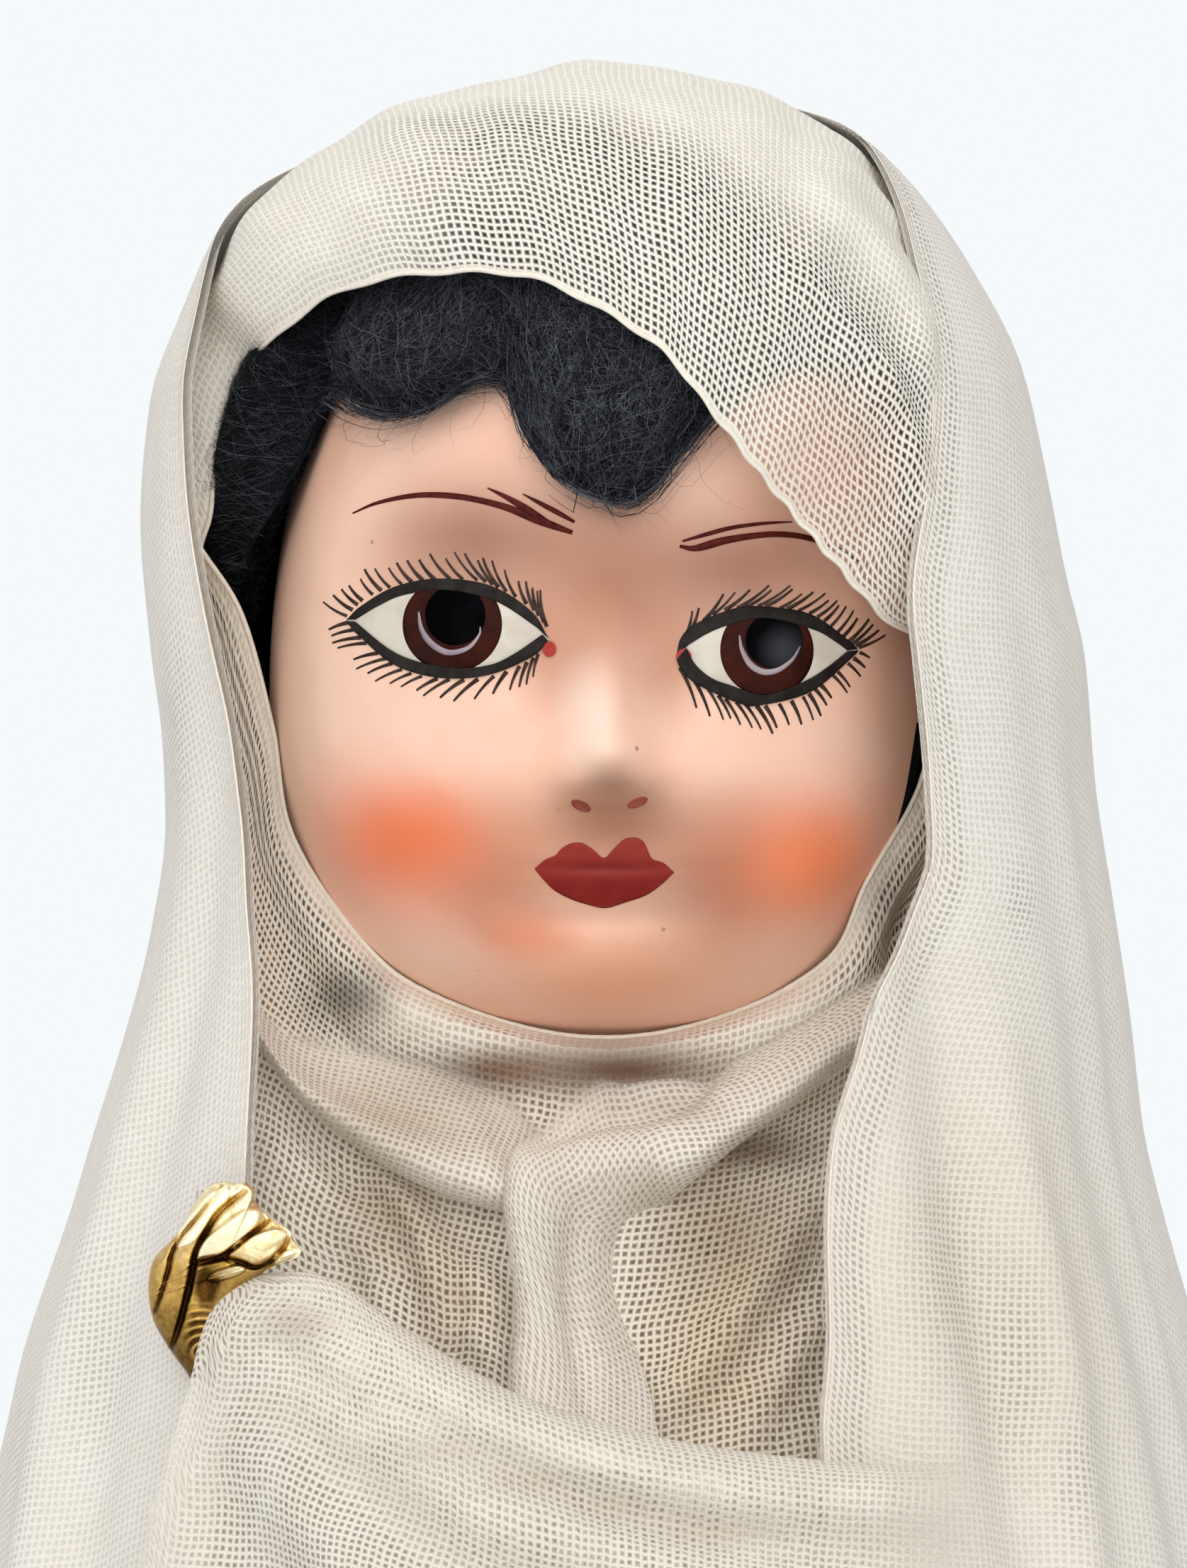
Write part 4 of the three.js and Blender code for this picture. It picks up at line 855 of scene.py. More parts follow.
# %% Lock at the left jaw
JAW_LOCK_FRONT = [
    (22.2, 292.4), (21.4, 287.6), (20.6, 284.6), (19.4, 281.4), (17.8, 278), (16.6, 276), (15.9, 274.6),
]
JAW_LOCK_BACK = [
    (23.4, 292.4), (23, 287.2), (22.2, 284), (21.2, 281), (19.6, 278), (18, 276), (16.6, 274.6),
]
jaw_grid = between(curve(JAW_LOCK_FRONT, 60), curve(JAW_LOCK_BACK, 60), 12)
jaw_lock = film("jaw_lock", [jaw_grid], WIG_BASE, 0.1)
note(jaw_lock, "tone", np.full(len(jaw_lock.data.vertices), BASE_TONE))

# %% Curled fibres
def fibres(name, count, turns, heights, length, width, lift, fringe, seed):
    """Curled ribbons of hair on the wig, that many, of that range of length and that width.

    Each starts at a random place inside the hairline and creeps over the wig: its heading starts near
    downwards and bends steadily, with a small wave. It lifts off the surface towards its end,
    and may reach past the hairline by about fringe.
    """
    chance = np.random.default_rng(seed)
    turn = chance.uniform(*turns, count)
    bottom = smooth(HAIRLINE, turn)
    z = bottom + (np.minimum(heights, CROWN_Z - 2) - bottom) * chance.uniform(0, 1, count) ** 1.2
    steps = 9
    size = chance.uniform(*length, count)[:, None]
    heading = chance.normal(0, 0.75, count)[:, None] + np.cumsum(
        chance.normal(0, 0.9, count)[:, None] / steps + chance.normal(0, 0.22, (count, steps)), axis=1)
    run = size / steps
    side = np.cumsum(run * np.sin(heading), axis=1)
    drop = np.cumsum(run * np.cos(heading), axis=1)
    r = np.maximum(wig_radius(np.clip(z[:, None] - drop, 262, CROWN_Z)) + 2, 4)
    angle = turn[:, None] + np.degrees(side / r)
    fuzz = chance.gamma(1.0, fringe, count)[:, None]
    height = np.clip(z[:, None] - drop, smooth(HAIRLINE, angle) - fuzz, CROWN_Z - 0.5)
    grow = np.linspace(0.1, 1, steps) ** 2
    up = chance.uniform(0.05, 0.25, count)[:, None] + chance.gamma(1.2, lift, count)[:, None] * grow
    path = hair_point(angle, height, up)
    along = np.gradient(path, axis=1)
    along /= np.maximum(np.linalg.norm(along, axis=2, keepdims=True), 1e-9)
    out = path - np.array([0, 0, FACE_Z])
    out /= np.linalg.norm(out, axis=2, keepdims=True)
    wide = np.cross(along, out) * (width / 2 * np.linspace(1, 0.35, steps))[None, :, None]
    points = np.stack([path + wide, path - wide], axis=2)
    made = piece(name, points, HAIR, close=False)
    note(made, "tone", np.repeat(chance.uniform(0, 1, count) ** 2.6, steps * 2))
    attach(made, "head")
    return made


fibres("fringe_hair", 11000, (-112, 34), 327, length=(3, 8), width=0.06, lift=0.3, fringe=0.35, seed=11)
fibres("bob_hair", 9000, (-180, 180), 334, length=(8, 18), width=0.09, lift=0.15, fringe=0.3, seed=12)
fibres("stray_hair", 300, (-88, 30), 318, length=(3, 8), width=0.03, lift=0.2, fringe=1.6, seed=13)

# %% [markdown]
# ## Gauze
#
# The veil is open cotton gauze: fine soft threads about six tenths of a millimetre apart with open holes
# between them. The holes are real transparency, so skin and hair show through one layer and fade under two.
# Threads in mesh would take many millions of faces, so they are drawn by the finish. The weave follows each
# sheet's own cut, in metres, and wanders a little as slack threads do.

# %% Weave group
weave, weave_in, weave_out = new_group(
    "plain weave",
    [("Cut", VECTOR, None), ("Pitch", FLOAT, 0.0006), ("Thread", FLOAT, 0.45), ("Slack", FLOAT, 0.25)],
    ["Cover", "Height", "Tone"],
)


def wander(tree, coords, scale, amount):
    """Coordinates pushed about by a noise of that scale, by up to amount."""
    cloud = put(tree, "ShaderNodeTexNoise", {"Vector": coords, "Scale": scale, "Detail": 1.0})
    centred = vector(tree, "SUBTRACT", cloud.outputs["Color"], (0.5, 0.5, 0.5))
    return vector(tree, "ADD", coords, grown(tree, centred, amount))


def thread_distance(tree, value):
    """0 on a thread's middle line, 1 half way to the next thread."""
    inside = calc(tree, "SUBTRACT", calc(tree, "FRACT", value), 0.5)
    return calc(tree, "MULTIPLY", calc(tree, "ABSOLUTE", inside), 2.0)


threads = grown(weave, weave_in["Cut"], calc(weave, "DIVIDE", 1.0, weave_in["Pitch"]))
threads = wander(weave, threads, 0.05, calc(weave, "MULTIPLY", weave_in["Slack"], 7.0))
threads = wander(weave, threads, 0.45, weave_in["Slack"])
axes = split(weave, threads)
uneven = calc(weave, "ADD", 0.55, calc(weave, "MULTIPLY", noise(weave, threads, 0.9, 2.0), 0.9))
half = calc(weave, "MULTIPLY", weave_in["Thread"], uneven)
core, fuzz = calc(weave, "MULTIPLY", half, 0.3), calc(weave, "MULTIPLY", half, 1.85)
warp, weft = (edge(weave, thread_distance(weave, axes[name]), fuzz, core) for name in "XY")
crossings = calc(weave, "ADD", *(calc(weave, "FLOOR", axes[name]) for name in "XY"))
over = calc(weave, "MULTIPLY_ADD", calc(weave, "PINGPONG", crossings, 1.0), 0.5, 0.5)
under = calc(weave, "SUBTRACT", 1.5, over)
height = calc(weave, "MAXIMUM", calc(weave, "MULTIPLY", warp, over), calc(weave, "MULTIPLY", weft, under))
cover = calc(weave, "MAXIMUM", warp, weft)
give(weave, weave_out, Cover=cover, Height=height, Tone=noise(weave, threads, 0.13, 3.0))


# %% Gauze finish
def gauze(name, light, dark, thread, haze, pitch=0.56, hem=(0.8, 0.9), start=0.0, fade=None, doubled=None,
          layers=(), shade_and_tints=()):
    """Open gauze: threads in two close tones, holes with a haze of loose fibre, and a closer edge.

    Lengths are in millimetres. thread is a thread's share of the pitch, and haze what loose fibre covers
    of a hole. hem is the edge's width and how much it covers. The cloth thickens from nothing over start,
    along its cut, and thins out between the two places on X in fade. doubled closes the holes, up to its
    last number: from its first to its second length along the cut, and from its third to its fourth place
    on X. layers lists spots where the doubled cloth lies closer (above zero) or opens (below zero):
    change, centre and size. shade_and_tints lists spots of painted shade and of tint: colour, strength,
    centre and size.
    """
    material, tree, shader = finish(name, roughness=0.9, specular_ior_level=0.2, sheen_weight=0.15)
    cut = put(tree, "ShaderNodeUVMap", uv_map="cut").outputs[0]
    coords = own_coords(tree)
    cloth = place(tree, weave, {"Cut": cut, "Pitch": pitch * MM, "Thread": thread, "Slack": 0.3})
    # painted shade and tints from the sheet's list of spots
    colour = stains_and_painted_light(tree, coords, tint(tree, cloth["Tone"], dark, light), shade_and_tints)
    down, side = split(tree, cut)["Y"], split(tree, coords)["X"]
    least = haze
    if doubled:
        far = edge(tree, down, *np.array(doubled[:2]) * MM)
        shut = calc(tree, "MAXIMUM", far, edge(tree, side, *np.array(doubled[2:4]) * MM))
        for change, centre, size in layers:
            shut = calc(tree, "ADD", shut, calc(tree, "MULTIPLY", spot(tree, coords, centre, size), change))
        least = scaled(tree, shut, haze, doubled[4])
    border = calc(tree, "MULTIPLY", edge(tree, down, hem[0] * MM, 0.7 * hem[0] * MM), hem[1])
    covered = calc(tree, "MAXIMUM", scaled(tree, cloth["Cover"], least, 0.97), border)
    if start:
        covered = calc(tree, "MULTIPLY", covered, edge(tree, down, 0.0, start * MM))
    if fade:
        covered = calc(tree, "MULTIPLY", covered, edge(tree, side, *np.array(fade) * MM))
    feed(tree, shader, cloth["Height"], 0.06, base_color=colour, alpha=covered)
    return material

# %% [markdown]
# One gauze serves the whole veil, but it lies doubled here, open there, and carries its own painted shade
# and tints in each place. So each sheet gets its own finish, with lists of soft spots placed on the doll.

# %% Painted shade, tints and layers
CHIN_PAINTED_SHADE_AND_TINTS = [
    # painted shadow under the chin and under a swag's lower border
    ("5C3F2A", 1.0, (1, -14, 267.6), (13, 10, 3.2)),
    ("7A5C44", 0.9, (-8, -14, 267.6), (9, 10, 2.6)),
    ("5E4A38", 0.8, (10, -16, 262), (8, 9, 2.6)),
    # painted shade and yellowing in the recess at the doll's left, yellowing lower down, and painted shade in
    # the recess at the doll's right and beside the upright roll
    ("93764E", 0.65, (9, -20, 256), (10, 11, 10)),
    ("C4A377", 0.6, (8, -27, 247.5), (11, 14, 12)),
    ("AA9472", 0.6, (-15, -18, 257), (8, 11, 8)),
    ("B89668", 0.5, (-11, -25, 252), (5, 12, 7)),
    # painted dark where the hair behind shows through the wrap
    ("3A3634", 0.65, (-18.6, -11, 272.8), (5, 9, 3.4)),
    ("3A3634", 0.5, (19.8, -11, 279.5), (3.6, 9, 5)),
]
SWAG_PAINTED_SHADE = [
    # painted shade in the creases and hollows of the swags
    ("9A866C", 0.6, (3, -21, 265.2), (7, 10, 1.8)),
    ("B8A58A", 0.4, (3, -22, 257), (4, 10, 6)),
    ("B9A68D", 0.6, (-16, -18, 264), (13, 16, 7)),
    ("A8927A", 0.5, (-9, -18, 267), (9, 9, 2.2)),
]
SASH_PAINTED_SHADOW = [
    # painted shadow under the sash's rolled top edge and beside the brooch
    *[("B3A68F", 0.45, centre, (9, 9, 2.2))
      for centre in ((-11, -37, 241.6), (-5, -38, 239.6), (1, -38, 237.8), (7, -38, 236.2))],
    ("A3947B", 0.45, (-22, -33, 250.2), (4, 9, 2.6)),
]
# painted shade in the hood's fold at the doll's left temple, and a pink tint where skin shows through
HOOD_PAINTED_SHADE_AND_TINT = [("A58A6A", 0.6, (23, -14, 302), (3.5, 10, 8)), ("D9A78E", 0.5, (15.5, -18, 310), (9, 18, 10))]
# painted shade over the lower part of the fall at the doll's left
FALL_PAINTED_SHADE = [("C6B79C", 0.35, (27, -26, 252), (26, 26, 36))]
CHIN_LAYERS = [
    (1.0, (0, -14, 269), (17, 12, 4)),
    (0.9, (-13.5, -13, 272), (9, 12, 4)),
    (0.9, (12.5, -13, 272), (8, 12, 4)),
]
FALL_LAYERS = [
    (-0.9, (28.5, -26, 247), (4, 40, 11)),
    (-0.7, (24, -26, 254), (4.5, 40, 12)),
    (-0.8, (29.3, -20, 279.5), (1.8, 40, 5)),
    (-0.7, (33, -24, 239), (2.4, 40, 7)),
    (-0.7, (-31, -18, 292), (2, 40, 11)),
    (-0.6, (-36.5, -22, 248), (4, 40, 12)),
    (-0.5, (-43, -20, 240), (3.5, 40, 12)),
]

# %% Gauze of each sheet
SWAG_GAUZE = gauze("creased gauze", "EDE6DA", "DCD2C1", 0.45, 0.34, hem=(0.1, 0.0), start=3.0, shade_and_tints=SWAG_PAINTED_SHADE)
WRAP_GAUZE = gauze("gauze with painted shade", "F4EDDF", "E4D9C5", 0.42, 0.1, pitch=0.58, hem=(0.5, 0.9),
                   doubled=(1.6, 0.8, 60, 61, 0.75), layers=CHIN_LAYERS, shade_and_tints=CHIN_PAINTED_SHADE_AND_TINTS)
HOOD_GAUZE = gauze("open ivory gauze", "F6F1E6", "E9E1D2", 0.39, 0.05, pitch=0.58, hem=(0.5, 0.9),
                   doubled=(13, 21, -9, -20, 0.75), shade_and_tints=HOOD_PAINTED_SHADE_AND_TINT)
LINING_GAUZE = gauze("thinning ivory gauze", "F4EEE1", "E5DCCA", 0.44, 0.15, hem=(0.1, 0.0), start=7.0,
                     fade=(2, -16))
FALL_GAUZE = gauze("close ivory gauze", "EFEAE1", "E6DFD3", 0.46, 0.28, hem=(0.5, 0.7),
                   doubled=(2.6, 3.8, 14, 4, 0.76), layers=FALL_LAYERS, shade_and_tints=FALL_PAINTED_SHADE)
SASH_GAUZE = gauze("drawn gauze", "EAE4D8", "D8CFBF", 0.46, 0.28, fade=(28, 18), shade_and_tints=SASH_PAINTED_SHADOW)
# yellowed cloth, its tan deepened as painted shade behind the wrap
UNDER_GAUZE = gauze("yellowed gauze in painted shade", "BDA074", "94764A", 0.42, 0.1)

# %% [markdown]
# ## Shape of the veil
#
# The outer veil hangs from the crown like a tent. Its outline differs from side to side, so each level has a
# half width to the left and right and a half depth to the front and back. Measured in the square root of the
# drop from the top, those widths give a round crown without any special case.

# %% Veil outline
VEIL_TOP = 340.2
VEIL_LEFT = [
    (340.2, 0), (335.5, 17.6), (332, 21.6), (325, 26.6), (318.4, 29.9), (310, 31.8), (303.5, 33),
    (297, 34.4), (288, 35), (280, 36.1), (271, 37.3), (263, 38.1), (257, 39.4), (246, 42.2), (200, 49.5),
    (151, 55.2), (98, 59),
]
VEIL_RIGHT = [
    (340.2, 0), (337.7, 14.4), (330, 27), (322, 31), (315.6, 33.2), (307, 33.9), (298, 33.2), (290.7, 32.3),
    (285, 32.1), (277, 33.2), (270, 35), (263, 37.2), (257, 39), (245, 42.9), (200, 49.8), (151, 55.2),
    (98, 59),
]
VEIL_FRONT = [
    (340.2, 0), (337, 13.5), (330, 21.5), (322, 26), (310, 29.5), (299, 31), (268, 31), (247, 33),
    (200, 40.5), (151, 48), (98, 52),
]
VEIL_BACK = [
    (340.2, 0), (337, 15), (330, 24), (322, 29), (310, 32.5), (299, 34), (285, 34.7), (268, 35.2),
    (247, 36.2), (200, 41), (151, 48), (98, 52),
]
FOLD_SIZE = [(98, 2.6), (160, 2.2), (240, 1.5), (265, 1.0), (285, 0.55), (305, 0.2), (330, 0.05), (341, 0)]


def root_drop(z):
    """Square root of the drop below the veil's top."""
    return np.sqrt(np.maximum(VEIL_TOP - np.asarray(z, float), 0))


def spread(table, z):
    """The veil's half size at height z, from a table of (height, half size)."""
    heights, sizes = np.array(table).T
    return smooth(np.column_stack([root_drop(heights), sizes]), root_drop(z))


def veil_point(angle, z, grow=0.0):
    """Point on the veil's outline at an angle from the front (radians, to the doll's left) and a height."""
    wide = np.where(np.sin(angle) > 0, spread(VEIL_LEFT, z), spread(VEIL_RIGHT, z)) + grow
    deep = np.where(np.cos(angle) > 0, spread(VEIL_FRONT, z), spread(VEIL_BACK, z)) + grow
    return xyz(wide * np.sin(angle), -deep * np.cos(angle), z)


def veil_folds(angle, z):
    """Soft hanging folds: three waves round the doll that grow with the drop and drift as they fall.

    One more stands out at the left, where the fall lies over the end of the sash.
    """
    wave = 0.5 * np.cos(11 * angle + 1.2 * np.sin(z / 37) + 0.6)
    wave += 0.33 * np.cos(18 * angle - 1.1 * np.sin(z / 26) + 2)
    wave += 0.2 * np.cos(29 * angle + z / 31)
    over_sash = 2.6 * bell(angle, 0.83, 0.085) * step(278, 252, z) * step(140, 180, z)
    return smooth(FOLD_SIZE, z) * wave + over_sash

# %% [markdown]
# ## Shawl
#
# Cut as one long piece, the veil lies over the crown and hangs at both sides and down the back. Its threads
# run as arches: up one side, over the head, down the other. So the grid's rows are arches too, from the front
# edge back. Each arch is where a curved slice cuts the outline. A cloth simulation would drape it well too,
# but into folds of its own, and these have to lie where the photograph shows them.

# %% Shawl
LEFT_EDGE = [
    (98, 20), (242, 20.6), (249, 22), (257, 23), (263, 24.6), (268.6, 27.8), (272.5, 29.9), (278, 36.4),
    (283.5, 41.1), (288, 41.3), (299, 40), (310, 46), (324, 55), (330, 64), (333.5, 74), (335.5, 88),
    (337.5, 112), (340.2, 150),
]
RIGHT_EDGE = [
    (98, 36), (245, 38), (258, 41), (271, 46), (282, 53), (288, 55.5), (294, 57.5), (300, 60), (306, 62),
    (318, 68), (325, 77), (330, 92), (334, 112), (340.2, 150),
]
BACK_SLICE = 62.0
SIDE_HEM, BACK_HEM = 112.0, 98.0


def shawl_shape(rows=112, half_columns=150):
    """Arches, one for each row, from the front edge to just short of where they would leave the back hem."""
    front = np.cos(np.radians((smooth(LEFT_EDGE, BACK_HEM) + smooth(RIGHT_EDGE, BACK_HEM)) / 2))
    front_y = -spread(VEIL_FRONT, BACK_HEM) * front
    last = (spread(VEIL_BACK, BACK_HEM) - front_y) / (BACK_SLICE - front_y)
    return np.stack([arch(share, half_columns) for share in np.linspace(0, last * 0.9995, rows)])


def arch(share, half_columns):
    """One arch of the shawl: share 0 is the front edge, and larger shares lie further back."""
    hem = SIDE_HEM - (SIDE_HEM - BACK_HEM) * step(0.5, 0.8, share)
    z = VEIL_TOP - np.linspace(0, root_drop(hem), 700) ** 2
    left, right = smooth(LEFT_EDGE, z), smooth(RIGHT_EDGE, z)
    middle = np.radians((left + right) / 2)
    deep = np.where(np.cos(middle) > 0, spread(VEIL_FRONT, z), spread(VEIL_BACK, z))
    y = (1 - share) * -deep * np.cos(middle) + share * BACK_SLICE
    cosine = -y / np.maximum(np.where(y < 0, spread(VEIL_FRONT, z), spread(VEIL_BACK, z)), 1e-6)
    first = np.argmax(cosine > -1)
    turned = np.arccos(np.clip(cosine, -1, 1))[first:]
    z = z[first:]
    turned[0] = np.pi
    remaining = (np.pi - turned) / (np.pi - middle[first:])
    halves = []
    for sign, table in ((-1, right), (1, left)):
        angle = sign * (np.pi - remaining * (np.pi - np.radians(table[first:])))
        line_points = veil_point(angle, z, veil_folds(angle, z))
        line_points[0, 0] = 0
        halves.append(evenly(line_points, half_columns + 1))
    return np.concatenate([halves[0][::-1], halves[1][1:]])


shawl_grid = shawl_shape()
shawl = piece("shawl", shawl_grid, FALL_GAUZE, cut_uv(shawl_grid))
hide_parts("veil_fall_left", "veil_fall_right", "veil_fall_back")

# %% Hem and lining of the shawl
LINING_ROWS, LINING_GAP = 34, 0.9


def area_of(made):
    """Surface of a mesh, in square metres."""
    return sum(face.area for face in made.data.polygons)


def hem_finish():
    """The same cotton, closely rolled."""
    material, tree, shader = finish("rolled gauze edge", roughness=0.9, specular_ior_level=0.2)
    twist = noise(tree, own_coords(tree), 1500.0, 3.0)
    feed(tree, shader, twist, 0.15, base_color=tint(tree, twist, "DCD2C0", "F6F0E4"))
    return material


HEM_GAUZE = hem_finish()


def gauze_hem(name, path, radius=0.19):
    """Rolled edge along a sheet's border."""
    return piece(name, tube(path, radius, 6), HEM_GAUZE)


front_rows = shawl_grid[:LINING_ROWS]
inward = front_rows * np.array([1, 1, 0]) / 40 - np.array([0, 0.2, 0])
lining_grid = front_rows - LINING_GAP * inward
lining_cut = cut_uv(lining_grid)[..., ::-1] + np.array([0.0, 0.2])
shawl_lining = piece("shawl_lining", lining_grid, FALL_GAUZE, lining_cut)
hem_line = evenly(shawl_grid[0], 500)
shawl_hem = gauze_hem("shawl_hem", hem_line, 0.04 + 0.05 * step(322, 300, hem_line[:, 2]))
for cloth in (shawl, shawl_hem, shawl_lining):
    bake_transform(cloth)
print("shawl area, m2:", round(area_of(shawl), 4))

# %% [markdown]
# ## Folds
#
# Folds in cloth are drawn as seen from the front: a curve, a height and a width. Along the curve the cloth is
# pushed out along its own normals.

# %% Folds
def swag(x, z, path, height, width):
    """Ridge along a drawn curve: a bell across it, rising from nothing at its ends."""
    points = curve(path, 60)
    away = (x[..., None] - points[:, 0]) ** 2 + (z[..., None] - points[:, 1]) ** 2
    nearest = away.argmin(axis=-1)
    rise = np.sqrt(np.sin(np.pi * (0.06 + 0.88 * nearest / 59)))
    return height * rise * np.exp(-away.min(axis=-1) / width**2)


def swagged(points, swags):
    """The grid pushed forward along its normals by every swag."""
    push = sum(swag(points[..., 0], points[..., 2], *one) for one in swags)
    out = normals(points)
    return points - np.sign(out[..., 1:2]) * push[..., None] * out


# %% [markdown]
# ## Hood
#
# Inside the shawl a second turn of the same cloth lies close over the hair. Its edge crosses the brow from
# the right temple, rises over the fringe and comes down across the left temple. It follows the head's egg at
# a small distance, closer where it lies on bare skin.

# %% Hood
BROW_EDGE = [
    (-30.2, 297), (-29.2, 305), (-26.4, 316.7), (-24, 320), (-19.6, 323), (-14.1, 324.2), (-7.5, 324.2),
    (-4.1, 323.4), (0.3, 321.1), (4.1, 318.4), (6.9, 314.9), (10.2, 310.7), (13, 307.3), (16.3, 303.5),
    (19.6, 299.9), (21.8, 298.6), (25, 297.2),
]
HOOD_BACK_Y = 12.0
HOOD_TURN = 0.78  # share of the rows after which the hood has come over the top
LINING_START = 6
LINING_TILT = 0.06  # radians between the threads of the two layers
HOOD_FOLDS = [
    ([(14, 324), (17, 320), (19.4, 317.2), (21.2, 312.8), (22.6, 307.4)], 1.0, 1.0),
    ([(15.5, 330), (19.4, 326), (22, 321), (23, 316)], 0.8, 0.9),
]


def outline_reach(ray):
    """Distance from the face's middle to the veil's outline along each ray, seen from the front."""
    z = np.linspace(FACE_Z, VEIL_TOP, 400)
    seen = []
    for wide in (spread(VEIL_LEFT, z), -spread(VEIL_RIGHT, z)[::-1]):
        up = z if wide[0] > 0 else z[::-1]
        seen.append(np.column_stack([np.arctan2(up - FACE_Z, wide), np.hypot(wide, up - FACE_Z)]))
    around = np.concatenate([seen[0], seen[1][1:]])
    return np.interp(ray, around[:, 0], around[:, 1])


def hood_shape(inner=0.0, rows=70, columns=230):
    """From the brow's edge back over the head, as a layer that lies inner deeper than the outline.

    Seen from the front each column of points lies on a ray from the face's middle, and goes from the edge
    out to the veil's outline: first steeply back, then round and over. Small pleats run along it, and a
    gathered patch lies over the left temple.
    """
    rim = curve(BROW_EDGE, columns)
    ray = np.arctan2(rim[:, 1] - FACE_Z, rim[:, 0])
    reach = np.hypot(rim[:, 0], rim[:, 1] - FACE_Z)
    gap = 6.1 - 2.9 * step(5, 14, rim[:, 0])
    tall = np.where(np.sin(ray) > 0, CROWN_Z - FACE_Z + 0.74 * gap, JAW + gap)
    whole = 1 / np.sqrt((np.cos(ray) / (JAW + gap)) ** 2 + (np.sin(ray) / tall) ** 2)
    start = -(FRONT_DEPTH + gap) * np.sqrt(np.maximum(1 - (reach / whole) ** 2, 0.01)) + inner
    far = np.maximum(outline_reach(ray) - 0.35 - inner, reach + 0.2)
    share = share_down(rows)
    over = np.minimum(share / HOOD_TURN, 1) * np.pi / 2
    out = reach + (far - reach) * np.sin(over) ** 0.92 - 1.2 * step(HOOD_TURN, 1, share)
    behind = (HOOD_BACK_Y - 1.0) * step(0.7, 1.08, share) / step(0.7, 1.08, 1)
    y = start + (1.0 - start) * (1 - np.cos(over)) + behind
    pleat = 0.22 * np.sin(ray * 23 + 2.5 * share) * step(0.0, 0.25, share)
    pleat = pleat + 0.12 * np.sin(ray * 41 - 3 * share)
    gathered = bell(ray, 0.75, 0.34) * step(0.3, 0.55, share) * step(1, 0.9, share)
    ruffle = np.sin(2 * np.pi * (8 * share + 0.5 * np.sin(5 * ray))) - 0.7
    pleat = pleat * step(1, 0.6, share) + 0.5 * gathered * ruffle
    tuck = step(0.4, 0.7, share) * (1.3 * step(1.25, 1.0, ray) + 0.8 * step(1.95, 2.2, ray))
    aside = 1 - step(0.9, 1.25, ray) * step(2.25, 1.9, ray)
    out = (out + pleat - tuck) * (1 - aside * (1 - np.sqrt(1 - (np.maximum(y, 0) / 36) ** 2)))
    y = y + 2.5 * step(22.5, 27, out * np.cos(ray)) * step(1.2, 0.9, ray)
    return xyz(out * np.cos(ray), y, FACE_Z + out * np.sin(ray))


hood_grid = swagged(hood_shape(), HOOD_FOLDS)
hood_grid[..., 2] += 0.6 * bell(hood_grid[..., 0], 0.8, 5) * step(330, 339, hood_grid[..., 2])
hood = piece("hood", hood_grid, HOOD_GAUZE, cut_uv(hood_grid), flip=True)
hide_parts("veil_hood")
hood_hem = gauze_hem("hood_hem", hood_grid[0])
inner_grid = hood_shape(0.9)[LINING_START:]
inner_grid[..., 1] += 0.4 * np.sin(inner_grid[..., 0] / 5)
cosine, sine = np.cos(LINING_TILT), np.sin(LINING_TILT)
inner_cut = cut_uv(inner_grid) @ np.array([[cosine, sine], [-sine, cosine]])
hood_lining = piece("hood_lining", inner_grid, LINING_GAUZE, inner_cut, flip=True)
for cloth in (hood, hood_hem, hood_lining):
    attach(cloth, "head")
print("hood area, m2:", round(area_of(hood), 4))

# %% [markdown]
# ## Chin wrap
#
# Under the jaw the cloth runs round like a cowl and then lies over the chest in crossing swags. A net of a
# dozen guide lines, each from the jaw's edge down to the chest, gives the cowl. It makes one narrow roll
# along the jaw and then falls back, so that the swags in front of it throw soft shadows on it. A yellowed
# layer, darkened as painted shade, lies behind it on the chest.

